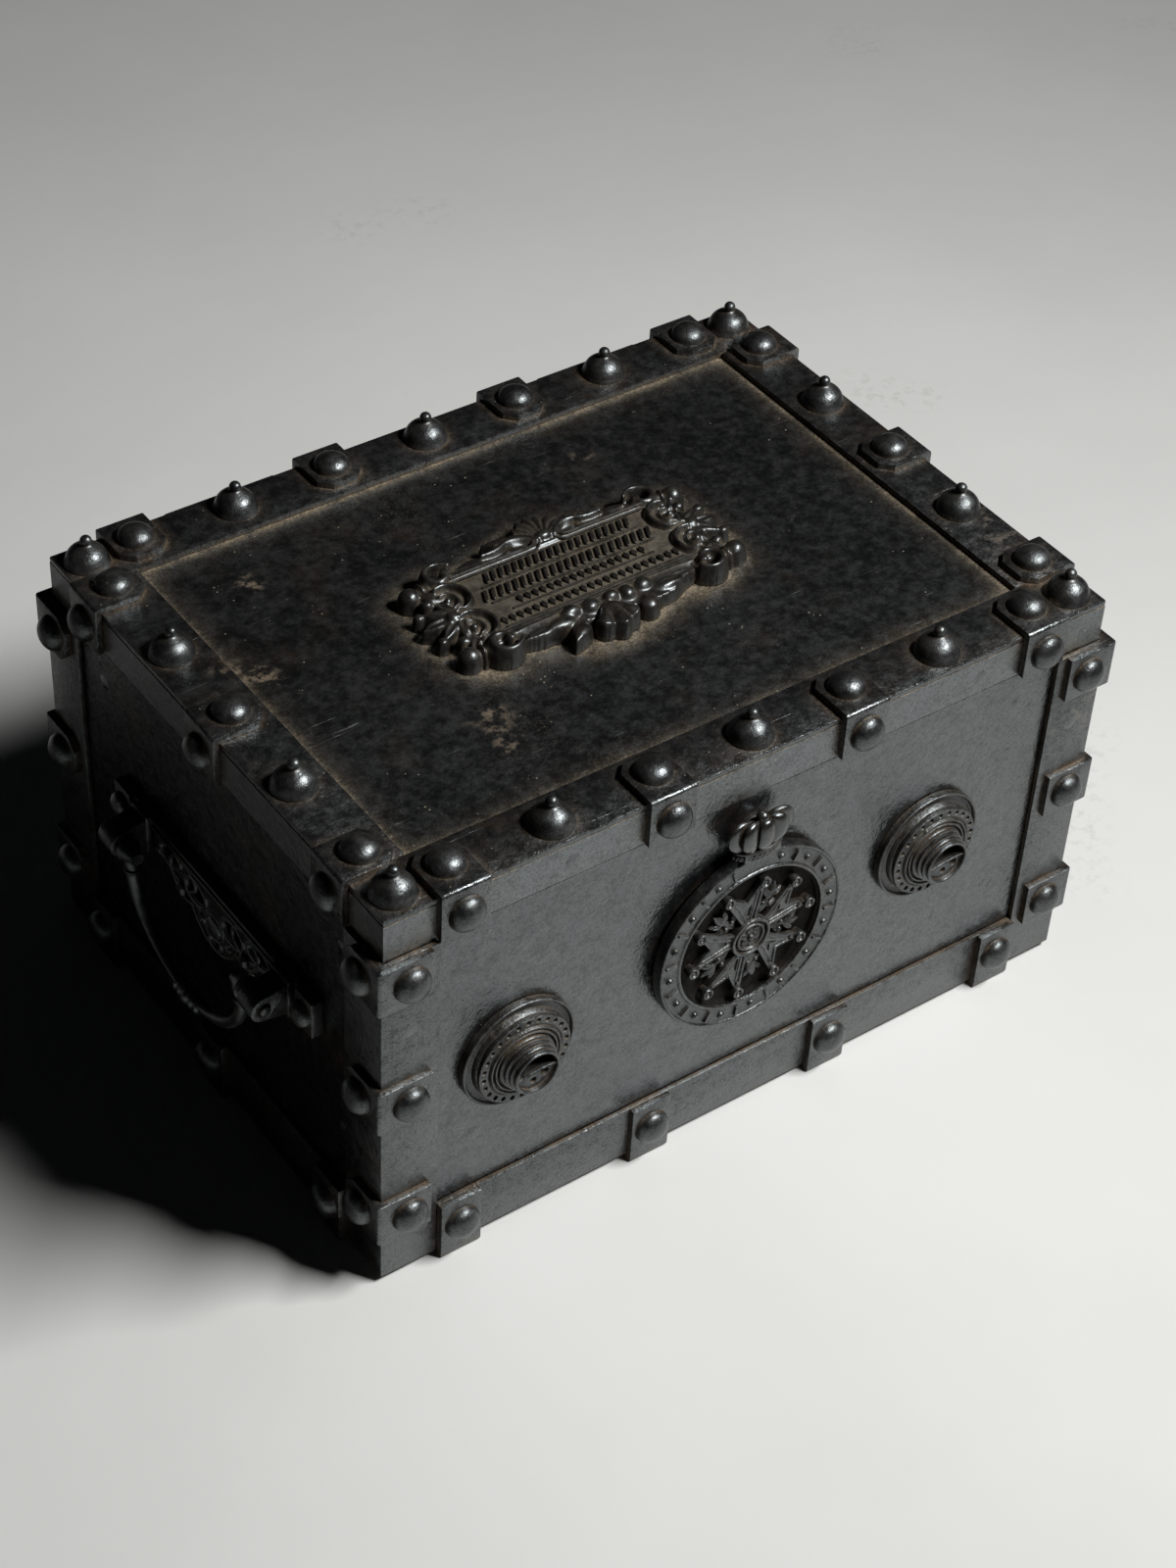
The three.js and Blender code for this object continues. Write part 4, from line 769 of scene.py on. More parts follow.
def bottom_bar(side):
    name, angle, half, reach, clips, _, _ = side
    spin = turn(angle, "Z")
    plates = stand_in(f"bottom_bar_{name}", "case", "frame_iron", FRAME)
    heads = Piece(f"bottom_heads_{name}", "case", "frame_iron", POLISHED)
    length = half - LEG + ANGLE_T - GAP
    deep, tall = 24, 31
    inside, outside, foot = -reach - GAP, -reach - GAP - ANGLE_T, CLIP_T
    section = [(outside, foot), (outside + deep, foot), (outside + deep, foot + ANGLE_T),
               (inside, foot + ANGLE_T), (inside, foot + tall), (outside, foot + tall)]
    plates.add(bevelled(prism(section, -length, length), 0.5), spin @ STAND)
    for step in clips:
        made = clip(22, 22, 31.3, short_rivet=16.5, long_head=False)
        flip = move(step, outside, foot) @ turn(pi, "X") @ turn(pi, "Z")
        place_clip(plates, heads, made, spin @ flip)
    plates.make()
    heads.make()


def corner_angle(name, sx, sy):
    plates = stand_in(f"corner_angle_{name}", "case", "frame_iron", FRAME)
    heads = Piece(f"corner_heads_{name}", "case", "frame_iron", POLISHED)
    t = ANGLE_T
    height = SEAM_Z - 0.5 - CLIP_T - GAP
    first, pitch = 12.5, 73.5
    section = [(0, 0), (LEG, 0), (LEG, t), (t, t), (t, LEG), (0, LEG)]
    lay = mirror(-sx, -sy, 1) @ move(-HALF_W - GAP - t, -HALF_D - GAP - t, CLIP_T)
    plates.add(bevelled(prism(section, 0, height), 0.5), lay)
    for row in range(3):
        made = clip(25, 25, 25)
        upright = move(0, 0, height - first - row * pitch) @ turn(-QUARTER, "Y")
        place_clip(plates, heads, made, lay @ upright)
    plates.make()
    heads.make()


for side in SIDES:
    lid_bar(side)
    bottom_bar(side)
for end, sy in (("front", -1), ("back", 1)):
    for side, sx in (("left", -1), ("right", 1)):
        corner_angle(f"{end}_{side}", sx, sy)


# Dial knobs
def facing(x, z, y):
    """A place on the front, with the shape's Z outward."""
    return move(x, y, z) @ turn(QUARTER, "X")


def seat(node):
    """The middle of a round CAD node's back, on the front."""
    return facing(middle(node, X), middle(node, Z), high_side(node, Y))


def dial_shapes():
    """The stepped rosette, the face with its ring of holes, the grip with its shelf, and its hollow."""
    rosette = lathe([(0, 0), (29.8, 0), (30, 0.3), (30, 3.5), (29.7, 3.9), (29.0, 3.9), (28.6, 3.5),
                     (28.2, 2.2), (27.6, 1.9), (25.6, 2.1), (24.9, 2.6), (24.3, 5.0), (23.8, 5.5),
                     (0, 5.5)], 72)
    face = lathe([(0, 0), (24.2, 0), (24.5, 0.3), (24.5, 1.9), (24.2, 2.2), (20.0, 2.2), (19.7, 1.7),
                  (19.4, 1.7), (19.1, 2.6), (18.8, 3.3), (18.2, 3.4), (17.8, 3.0), (17.6, 2.0), (17.3, 1.9),
                  (17.0, 2.6), (16.7, 3.5), (16.1, 3.6), (15.7, 3.2), (15.4, 1.9), (15.0, 1.6), (0, 1.6)], 96)
    holes = [put(lathe([(0, 0.4), (1.15, 0.4), (1.2, 1.9), (1.6, 2.5), (0, 2.6)], 14),
                 turn(TAU * k / 26, "Z") @ move(22.2, 0, 0)) for k in range(26)]
    face = boolean(face, together(*holes))
    rim = [(0, 0), (14.5, 0), (14.7, 0.3), (14.7, 2.0), (14.3, 2.5), (13.4, 2.8), (13.3, 3.3), (13.8, 3.8),
           (13.8, 4.8), (13.4, 5.2), (12.5, 5.5), (12.4, 6.0), (12.9, 6.4), (12.9, 7.3), (12.5, 7.8),
           (11.6, 8.1), (11.5, 8.5), (12.0, 8.9), (12.0, 9.9), (11.6, 10.4), (11.1, 10.5), (10.6, 10.2),
           (10.3, 9.4)]
    body = lathe(rim + [(10.0, 7.0), (9.6, 2.6), (0, 2.2)], 72)
    half = [(10.25 * cos(a), 10.25 * sin(a)) for a in [-pi + pi * k / 24 for k in range(25)]]
    wells = together(prism(ellipse(4.9, -3.6, 2.1, 2.1, 24), 5, 12),
                     prism(ellipse(-1.4, -5.6, 1.7, 1.7, 24), 5, 12))
    shelf = boolean(prism(half, 2.0, 8.3), wells)
    line = [(x, 0.9 * cos(x / 7.5) - 0.6, 9.0) for x in [-10.6 + 21.2 * k / 16 for k in range(17)]]
    blade = sweep(line, [0.62] * 17, 8, 1.3)
    hollow = lathe([(0, 2.1), (10.0, 2.1), (10.05, 7.6), (9.85, 7.6), (9.7, 3.0), (0, 2.8)], 40)
    return rosette, face, together(body, bevelled(shelf, 0.3), blade), hollow


def dials():
    """Both dials: each rosette stays on the plate, the face and the grip turn."""
    rosette, face, grip, hollow = dial_shapes()
    for side, lean in (("left", 0.08), ("right", 0.1)):
        stand_in(f"{side}_rosette", "case", "ornament_iron", DIAL).add(
            rosette, seat(f"{side}_rosette")).make()
        stand_in(f"{side}_dial", f"{side}_knob", "ornament_iron", DIAL).add(
            face, seat(f"{side}_dial") @ turn(lean, "Z")).make()
        held = seat(f"{side}_grip") @ turn(lean, "Z")
        stand_in(f"{side}_grip", f"{side}_knob", "ornament_iron", POLISHED).add(grip, held).make()
        # the grip's hollow is lined with near-black iron, painted shade
        Piece(f"{side}_grip_hollow", f"{side}_knob", "ornament_iron", RECESS_SHADE).add(hollow, held).make()


# Keyhole cover
RING = 52.0      # outer radius of the ring; COVER is the middle of its back
COVER = facing(middle("medallion_ring", X), low_side("medallion_ring", Z) + RING,
               high_side("medallion_ring", Y))


def cover_ring():
    """The dished ring with its eye and the row of pellets and bars, and the dish behind the star, near-black as
    painted shade of the deep recess.
    """
    ring = lathe([(39.0, 0), (51.7, 0), (RING, 0.4), (RING, 5.2), (51.7, 5.8), (51.3, 6.0), (50.8, 6.0),
                  (50.4, 5.7), (50.1, 5.2), (49.8, 5.1), (42.3, 5.1), (42.0, 5.3), (41.7, 5.8), (41.3, 6.0),
                  (40.8, 6.0), (40.4, 5.8), (40.2, 5.3), (39.9, 1.9), (39.0, 1.5), (39.0, 0)], 96)
    dish = lathe([(0, 0.1), (39.2, 0.1), (39.9, 0.6), (39.95, 4.4), (39.4, 4.2), (38.6, 2.2), (37.4, 1.5),
                  (0, 1.4)], 96)
    neck = bevelled(prism([(-7, 50), (7, 50), (5.5, 68), (-5.5, 68)], 0, 3), 0.4)
    eye_y, hole = 64, 3.3
    eye = boolean(lathe([(0, 0), (7.7, 0), (8, 0.3), (8, 2.7), (7.7, 3), (0, 3)], 40),
                  prism(ellipse(0, 0, hole, hole), -1, 5))
    neck = boolean(neck, prism(ellipse(0, eye_y, hole, hole), -1, 5))
    piece = stand_in("medallion_ring", "keyhole_cover", "ornament_iron", CAST)
    piece.add(ring, COVER).add(neck, COVER).add(eye, COVER @ move(0, eye_y, 0))
    pellet = lathe([(0, 0), (1.9, 0), (1.8, 0.9), (1.3, 1.6), (0.6, 1.9), (0, 1.95)], 20)
    bar = cuboid((-0.75, 0.75), (-3.0, 3.0), (0, 1.6), 0.3)
    count = 32
    for k in range(count):
        angle = TAU * (k + 0.5) / count
        # none where the bulb stands over the ring
        if abs(sin((angle - QUARTER) / 2)) >= 0.12:
            at = COVER @ turn(angle, "Z") @ move(46.1, 0, 4.8) @ turn(QUARTER, "Z")
            piece.add(bar if k % 2 else pellet, at)
    piece.make()
    # the dish behind the star is near-black iron, painted shade of the deep recess
    Piece("medallion_dish", "keyhole_cover", "ornament_iron", RECESS_SHADE).add(dish, COVER).make()


def cover_star():
    """Five arms with railed edges and ball tips, sprays of leaves between them, and a hub with petals."""
    piece = stand_in("medallion_star", "keyhole_cover", "ornament_iron", CAST)
    base = COVER @ move(0, 0, 1.9) @ turn(0.17, "Z")
    arm = [(-3.0, 9), (3.0, 9), (10.6, 29.4), (9.6, 30.8), (8.0, 30.8), (0, 23.4), (-8.0, 30.8), (-9.6, 30.8),
           (-10.6, 29.4)]
    plate = bevelled(prism(arm, 0.3, 2.6), 0.4)
    slot = prism([(-0.9, 13.5), (0.9, 13.5), (3.2, 21), (0, 18.2), (-3.2, 21)], 1.8, 4)
    plate = boolean(plate, slot)
    rails = []
    for s in (-1, 1):
        rails.append(sweep([(s * 2.9, 9.5, 2.6), (s * 10.2, 29.6, 2.6)], [0.8] * 2, 8, 1.1))
        rails.append(sweep([(s * 9.0, 30.6, 2.6), (0, 22.9, 2.6)], [0.75] * 2, 8, 1.1))
        rails.append(sweep([(s * 1.2, 11.5, 2.5), (s * 6.4, 26.4, 2.5)], [0.5] * 2, 6, 1.2))
    tip = lathe([(0, -1.6), (2.2, -1.6), (2.4, 0.4), (2.9, 0.9), (3.0, 3.2), (2.7, 3.8), (2.1, 4.0),
                 (1.6, 3.5), (1.3, 2.8), (1.0, 3.2), (0.6, 3.6), (0, 3.7)], 24)
    for k in range(5):
        at = base @ turn(TAU * k / 5, "Z")
        piece.add(plate, at)
        for rail in rails:
            piece.add(rail, at)
        for side in (-1, 1):
            piece.add(tip, at @ move(side * 10.2, 31.8, 1.2))
            piece.add(cuboid((-0.9, 0.9), (-1.2, 1.2), (0, 1.2), 0.3), at @ move(side * 8.2, 27.6, 2.4))
        between = base @ turn(TAU * (k + 0.5) / 5, "Z")
        for x, y, lean, size, lift in ((0, 11.5, 0.0, 11, 0.4), (0.6, 15, -0.85, 7.5, 0.4),
                                       (-0.6, 15, 0.85, 7.5, 0.4), (0, 19, 0.0, 11, 1.0),
                                       (0.8, 21, -0.62, 8, 0.8), (-0.8, 21, 0.62, 8, 0.8)):
            piece.add(leaf(size, size * 0.36, 2.0, 0.5), between @ move(x, y, lift) @ turn(lean, "Z"))
        for x, y in ((-2.2, 18.2), (2.2, 18.2)):
            piece.add(ball(1.15, 1.0, 12), between @ move(x, y, 2.2))
    hub = [(0, 0), (10.8, 0), (11, 0.3), (11, 3.6), (10.7, 4.1), (10.1, 4.3), (9.5, 4.1), (9.2, 3.5),
           (9.0, 2.0), (8.5, 1.8), (8.1, 2.0), (7.9, 3.4), (7.5, 3.9), (7.0, 3.9), (6.7, 3.4), (6.5, 2.4),
           (0, 2.4)]
    piece.add(lathe(hub, 64), base)
    petal = leaf(4.9, 3.2, 1.5, 0.3)
    for k in range(6):
        piece.add(petal, base @ turn(TAU * k / 6, "Z") @ move(0, 1.3, 2.4))
    piece.add(ball(1.7, 0.9), base @ move(0, 0, 3.4)).make()


def bulb():
    """Squat fluted bulb over the pivot, flat at the back, with a bead in the dent of its top."""
    lobes, nu = 5, 80
    across, tall, deep_share = 19.0, 18.0, 9.0 / 19.0
    meridian = smooth_profile([(0.56, 0.0), (0.76, 0.12), (0.93, 0.3), (1.0, 0.52), (0.97, 0.75),
                               (0.84, 0.93), (0.64, 1.0), (0.44, 0.98), (0.28, 0.9), (0.14, 0.84)], 4)
    nv = len(meridian) - 1
    verts, faces = [], []
    for share, t in meridian:
        for j in range(nu + 1):
            a = pi * j / nu
            deep = 0.36 * (1 - abs(sin(lobes * a)) ** 0.45) * min(1, share * 1.6)
            r = across * share * (1 - deep)
            verts.append((r * cos(a), tall * (t - 0.24 * deep), deep_share * r * sin(a)))
    m = nu + 1
    for i in range(nv):
        faces += [[i * m + j, i * m + j + 1, (i + 1) * m + j + 1, (i + 1) * m + j] for j in range(nu)]
        faces.append([i * m, (i + 1) * m, (i + 1) * m + nu, i * m + nu])
    faces.append(list(range(m))[::-1])
    faces.append([nv * m + j for j in range(m)])
    at = COVER @ move(-1.2, 58.0, 3.3)
    piece = stand_in("medallion_bulb", "keyhole_cover", "ornament_iron", BULB)
    piece.add((verts, faces), at)
    piece.add(cuboid((-10.3, 10.3), (-4.2, 0.6), (0, 5.6), 0.7), at)
    for y, half, deep, r in ((-3.2, 11.8, 6.2, 0.75), (-1.6, 12.2, 6.3, 0.9), (0.7, 12.6, 6.6, 0.8)):
        arc = [(half * cos(pi * k / 24), y, deep * sin(pi * k / 24)) for k in range(25)]
        piece.add(sweep(arc, [r] * 25, 10), at)
    rung = sweep([(-0.9, -2.7, 0), (0.9, 0.1, 0)], [0.5, 0.5], 6)
    for k in range(15):
        a = pi * (k + 0.5) / 15
        piece.add(rung, at @ move(12.7 * cos(a), 0, 6.8 * sin(a)))
    piece.add(ball(3.0), at @ move(0, 17.6, 2.4))
    tip = lathe([(0, -1), (2.4, -1), (1.6, 0.6), (1.2, 1.6), (0, 1.6)], 20)
    piece.add(tip, at @ move(0, 13.8, 2.4) @ turn(-QUARTER, "X"))
    piece.make()


# Cartouche
def cartouche_relief():
    """The cast frame of the cartouche round its sunk panel; heights are above the lid's plate."""
    r = Relief((-88, 88), (-51, 48), 0.52)
    r.slab((-60, 60), (-23.5, 23.5), 7.4)
    front_edge = [(-62, -25), (-54, -24.6), (-48, -25.5), (-42, -29.6), (-34, -31), (-24, -33), (24, -37),
                  (33, -36), (40, -33), (47, -28), (54, -25.6), (62, -25)]
    back_edge = [(-60, 25), (-51, 26.4), (-42, 29.8), (-34, 30.6), (-26, 28), (-18, 29), (17, 29.6),
                 (28, 28.6), (38, 30.8), (45, 27), (60, 25)]
    r.apron(front_edge, -22.4, 9.2, 6.4)
    r.apron(back_edge, 22.4, 9.2, 7.4)
    for sx in (-1, 1):
        for sy in (-1, 1):
            # corner volute: a tall open curl with an eye
            cx, cy = sx * 58, sy * 27.6
            r.knob(cx, cy, 9.6, 9.6, 1.2, 7.0, power=0.3)
            r.sink(cx - sx * 0.4, cy + sy * 3.2, 5.2, 3.6, 1.5)
            line = [(cx + sx * px, cy + sy * py) for px, py in spiral(8.4, 3.6, pi * 0.86, -0.92, 34)]
            widths = [3.4 + 0.9 * sin(pi * k / 33) for k in range(34)]
            r.band(line, widths, 11.6, 0.0)
            r.knob(line[-1][0], line[-1][1], 2.9, 2.9, 2.2, 9.8)
            # acorn with its two collars
            ax, ay = sx * 75, sy * 25
            lean = atan2(cy - ay, cx - ax)
            r.knob(ax, ay, 6.3, 6.0, 8.0, 2.2, lean)
            for along, wide, tall in ((6.4, 5.2, 8.6), (9.3, 4.4, 8.0)):
                r.knob(ax + along * cos(lean), ay + along * sin(lean), 1.55, wide, tall, 1.6, lean, 0.4)
            # scroll that bulges into the short end of the panel
            ex, ey = sx * 61.5, sy * 11
            arc = [(ex - sx * 9.2 * cos(a), ey + 9.6 * sin(a)) for a in
                   [-1.9 + 3.8 * k / 30 for k in range(31)]]
            r.knob(ex, ey, 8.6, 9.0, 0.8, 5.6, power=0.3)
            r.band(arc, [2.0 + 1.4 * sin(pi * k / 30) for k in range(31)], 11.0, 0.3)
            inner = [(ex + sx * 1.4 - sx * 4.8 * cos(a), ey + 5.2 * sin(a)) for a in
                     [-1.5 + 3.4 * k / 22 for k in range(23)]]
            r.band(inner, 2.0, 9.4, 0.2)
            r.knob(ex + sx * 1.6, ey, 2.3, 2.3, 3.0, 7.0)
            r.petal(sx * 64, sy * 15, 13, 7.5, 4.2, -sx * (0.7 if sy > 0 else pi - 0.7), 4.4)
            r.knob(sx * 71.5, sy * 15.5, 3.6, 3.2, 3.8, 5.0)
            r.knob(sx * 79.5, sy * 10, 3.2, 3.0, 3.4, 4.2)
        # petals that spread outward from the middle of the short end
        for angle, size, wide in ((-1.25, 15, 8), (-0.62, 18.5, 9), (0.0, 20.5, 10), (0.62, 18.5, 9),
                                  (1.25, 15, 8)):
            r.petal(sx * 64, 0, size, wide, 4.6, -sx * QUARTER + angle, 4.6, 0.3)
        r.knob(sx * 67.5, 0, 4.2, 3.8, 3.4, 7.2)
    # shell over the back edge, with a bud at its foot and leaves that run out from it
    r.fan(1, 26, 19, 5.4, 0.0, 2.3, 7, 5.4)
    r.knob(1.5, 27.6, 4.8, 3.2, 3.4, 8.6)
    for s in (-1, 1):
        r.petal(1.5 + s * 8, 30, 23, 8.5, 4.4, -s * 1.2, 5.6, 0.1)
        leafy = curve([(1.5 + s * 5, 26), (1.5 + s * 13, 35), (1.5 + s * 21, 31), (1.5 + s * 27, 28),
                       (1.5 + s * 34, 29.5)], 8)
        r.band(leafy, [4.2 - 1.6 * k / (len(leafy) - 1) for k in range(len(leafy))], 10.8, 0.0)
        r.petal(1.5 + s * 31, 29, 19, 7.0, 3.0, -s * 1.56, 5.8, 0.1)
    # shell, fruit and plump petals below the front edge
    r.fan(-2.6, -29, 18.2, 5.2, pi, 1.9, 3, 6.0)
    for k in range(7):
        a = -0.78 + 1.56 * k / 6
        r.petal(-2.6, -28.5, 12.5, 2.6, 2.2, pi + a, 8.6, 0.0)
    for x, y, rx, ry, high, base in ((-9.4, -26, 5.2, 4.6, 4.0, 7.4), (2.2, -26, 4.6, 3.6, 4.2, 7.6),
                                     (10.4, -27, 4.2, 4.8, 4.2, 7.4), (20.4, -25.4, 5.4, 4.6, 4.6, 6.6),
                                     (16.4, -36.6, 5.4, 5.8, 5.2, 4.2), (-20, -25.4, 5.8, 3.8, 4.4, 7.2)):
        r.knob(x, y, rx, ry, high, base)
    r.petal(-19, -28.5, 19, 9.5, 4.6, QUARTER + 0.12, 5.6, 0.0)
    r.petal(-16.5, -32.5, 17, 10, 4.8, QUARTER + 0.72, 4.4, 0.0)
    r.petal(-27, -29, 22, 7.5, 3.0, QUARTER + 0.04, 5.6, 0.25)
    r.petal(24, -29.5, 18, 8.5, 4.0, -QUARTER - 0.1, 5.6, 0.2)
    r.petal(31, -28.5, 20, 8.0, 3.4, -QUARTER + 0.02, 5.4, 0.3)
    return r


def cartouche():
    """The relief, its smooth rails, the sunk panel, and on it rows of gadroons and lozenges."""
    at = move(-2, 1.6, LID_TOP - BAR_T)
    piece = stand_in("cartouche", "lid", "ornament_iron", GLOSS, sharp=100)
    piece.add(cartouche_relief().shape(), at)
    rails = Piece("cartouche_rails", "lid", "ornament_iron", RAIL)
    for y, half, high, thick in ((-23.1, 58.5, 10.6, 0.8), (-20.8, 57, 9.8, 0.6)):
        rails.add(cuboid((-half, half), (y - thick, y + thick), (7, high), 0.45), at)
    for y, high, thick, foot in ((23.1, 10.6, 0.8, 8.5), (20.8, 9.8, 0.6, 6.5)):
        for s in (-1, 1):
            line = curve([(s * 55 + 0.8, y, 0), (s * 30, y, 0), (1.5 + s * (foot + 3), y, 0),
                          (1.5 + s * foot, y, 0), (1.5 + s * (foot - 2.2), y + 4.2, 0)], 10)
            rails.add(sweep([(x, v, high - thick) for x, v, _ in line], [thick] * len(line), 8), at)
    for y, half in ((10.9, 44), (-0.6, 46), (-8.7, 40), (-18.4, 50)):
        rails.add(cuboid((-half, half), (y - 0.5, y + 0.5), (7, 8.5), 0.2), at)
    rails.make()
    ground = cuboid((-59, 59), (-22, 22), (7.0, 7.48), 0.1)
    Piece("cartouche_ground", "lid", "ornament_iron", GROUND).add(ground, at).make()
    lozenge = [(1.5, 0), (0, 2.8), (-1.5, 0), (0, -2.8)]
    for y, form, lean, pitch, half, shift in ((16.2, oblong(0.95, 4.0), -0.42, 4.0, 43, 1.8),
                                              (4.8, oblong(0.95, 4.2), -0.42, 4.2, 47, 0.0),
                                              (-4.6, lozenge, 0.0, 4.3, 38, 1.0),
                                              (-14.2, lozenge, 0.0, 4.4, 49, 0.0)):
        mark = bevelled(prism(form, 0, 1.7), 0.3)
        n = int(half / pitch)
        for k in range(-n, n + 1):
            piece.add(mark, at @ move(k * pitch + shift, y, 7.2) @ turn(lean, "Z"))
    piece.make()


# Bail handles
def pivot(joint):
    """Y and Z of a joint's axis."""
    at = {j["name"]: j.get("pos_m") for j in frame["joints"]}[joint]
    return own(at[Y], Y), own(at[Z], Z)


def strap_shapes():
    """The pierced strap with its raised rims, scrolls, studs and end blocks; l and d are its half sizes."""
    l, d = 88.0, 30.0
    right = curve([(0, -d), (0.14 * l, -d), (0.23 * l, -0.57 * d), (0.34 * l, -0.73 * d),
                   (0.43 * l, -0.4 * d), (0.5 * l, -0.13 * d), (0.68 * l, -9)])
    half = right + [(l, -9), (l, 11)]
    outline = half + [(-x, y) for x, y in half[::-1]][:-1]
    ovals = [(0, -0.8 * d, 0.12 * d, 0.1 * d)]
    for s in (-1, 1):
        ovals.append((s * 0.45 * l, -0.02 * d, 0.09 * l, 0.13 * d))
        ovals.append((s * 0.19 * l, -0.18 * d, 0.09 * l, 0.18 * d))
    plate = boolean(prism(outline, 0, 4), together(*[prism(ellipse(*o), -1, 6) for o in ovals]))
    parts = [bevelled(plate)]
    parts += [loop(ellipse(x, y, rx + 1.6, ry + 1.6, 36, 4.0), 1.1, 8) for x, y, rx, ry in ovals]
    for s in (-1, 1):
        parts.append(loop(ellipse(s * 0.32 * l, -0.1 * d, 11.5, 7.5, 36, 4.1), 1.0, 8))
        stem = curve([(0, -28.4), (12, -28.4), (20, -15.6), (30, -20.4), (37, -10.6), (43, -2.6), (59, -7.4)])
        parts.append(sweep([(s * x, y, 4.2) for x, y in stem], [0.95] * len(stem), 8))
        for x, y, r in ((50, -4.6, 3.6), (12, -19, 3.2), (33, -16.5, 2.6)):
            whorl = spiral(8.3, 1.4, 1.2, 1.3, 22)
            coil = [(s * (x + px * r / 8.3), y + py * r / 8.3, 4.2) for px, py in whorl]
            parts.append(sweep(coil, [0.75] * len(coil), 6))
            parts.append(put(ball(r * 0.32, 1.0, 10), move(s * x, y, 4.4)))
        stud = bevelled(prism(rect((-3, 3), (-3, 3)), 0, 3.2), 1.3, 1)
        parts.append(put(stud, move(s * 0.32 * l, -0.4 * d, 4.0)))
        parts.append(cuboid(sorted((s * (l - 14), s * (l + 0.5))), (-9.5, 11.5), (0.4, 6.4), 0.7))
        parts.append(put(dome(7, 5.4, 32), move(s * (l - 7), 1, 6.4)))
        parts.append(cuboid(sorted((s * (l - 0.4), s * (l + 0.6))), (-6, 8), (1.2, 5.6), 0.3))
    for share in (0.98, 0.6):
        top = 11 * share
        parts.append(cuboid((-56, 56), (top - 2.4, top), (2, 5.2), 0.6))
    parts.append(put(dome(6, 2.6, 28), move(0, -15, 4)))
    parts.append(loop(ellipse(0, -15, 7.4, 7.4, 36, 4.0), 0.9, 8))
    return together(*parts)


def lug_shape():
    outline = [(4.6, -10), (17, -7)] + [(19 + 7 * cos(a), 7 * sin(a)) for a in
               [-QUARTER + pi * k / 20 for k in range(21)]] + [(17, 7), (4.6, 10)]
    shape = boolean(prism(outline, 0, 13), prism(ellipse(19, 0, 3.25, 3.25, 32), -1, 14))
    return together(bevelled(shape, 0.7), cuboid((4.6, 7.4), (-11, 11), (-0.8, 13.8), 0.5))


def bail_shape():
    """The bow with its knop, and at each end the bell, the collar and the round pin."""
    out, half = 19, 51       # of the pins from the strap, and half the bow's width
    line, radii = [], []
    for k in range(61):
        a = pi * k / 60
        bulge = 0.86 + 0.14 * abs(cos(a))
        line.append((out, -half * cos(a) * bulge, -half * sin(a) ** 0.8))
        radii.append(3.4 - 1.1 * sin(a) ** 1.5)
    parts = [sweep(line, radii, 16)]
    knop = smooth_profile([(2.3, -11), (3.6, -10), (3.7, -9), (2.6, -7.8), (3.0, -6.6), (4.0, -5.4),
                           (4.1, -4.6), (3.0, -3.2), (4.2, -1.8), (5.0, 0), (4.2, 1.8), (3.0, 3.2),
                           (4.1, 4.6), (4.0, 5.4), (3.0, 6.6), (2.6, 7.8), (3.7, 9), (3.6, 10), (2.3, 11)], 4)
    parts.append(put(lathe([(0, -11)] + knop + [(0, 11)], 32), move(out, 0, -half) @ turn(QUARTER, "X")))
    bell = smooth_profile([(3.3, -6.5), (3.6, -4.6), (4.4, -2.4), (5.6, 0.4), (6.1, 1.6), (6.0, 2.8)], 4)
    pin = [(0, -6.5)] + bell + [(5.2, 3.2), (3.4, 3.6), (2.9, 5.2), (2.9, 19.4), (2.5, 20.2), (0, 21)]
    for s in (-1, 1):
        parts.append(put(lathe(pin, 32), move(out, s * half, 0) @ turn(-s * QUARTER, "X")))
        parts.append(put(lathe([(0, -0.8), (4.2, -0.8), (4.4, 0), (4.2, 0.8), (0, 0.8)], 28),
                         move(out, s * half * 0.985, -9.5) @ turn(0.18 * s, "X")))
    return together(*parts)


def handles():
    strap, lug, bail = strap_shapes(), lug_shape(), bail_shape()
    y, z = pivot("left_bail_swing")
    upright = Matrix(((1, 0, 0, 0), (0, 0, -1, 0), (0, 1, 0, 0), (0, 0, 0, 1)))
    for side, sign in (("left", -1), ("right", 1)):
        lay = move(sign * (HALF_W + GAP), y, z) @ mirror(sign, 1, 1)
        stand_in(f"{side}_handle_strap", "case", "ornament_iron", CAST).add(
            strap, lay @ STAND).make()
        for end, start in (("front", -57.0), ("rear", 70.0)):
            stand_in(f"{side}_lug_{end}", "case", "ornament_iron", CAST).add(
                lug, lay @ move(0, start, 0) @ upright).make()
        stand_in(f"{side}_bail", f"{side}_bail", "ornament_iron", POLISHED).add(bail, lay).make()


# Hinges and small fasteners
def screw(radius=3.0, high=1.1):
    """A low screw head with its slot."""
    head = lathe([(0, -0.2), (radius, -0.2), (radius, 0.2), (radius * 0.86, high * 0.75),
                  (radius * 0.5, high), (0, high)], 24)
    x, y = radius + 1, 0.35
    return boolean(head, prism(rect((-x, x), (-y, y)), high * 0.45, high + 1))


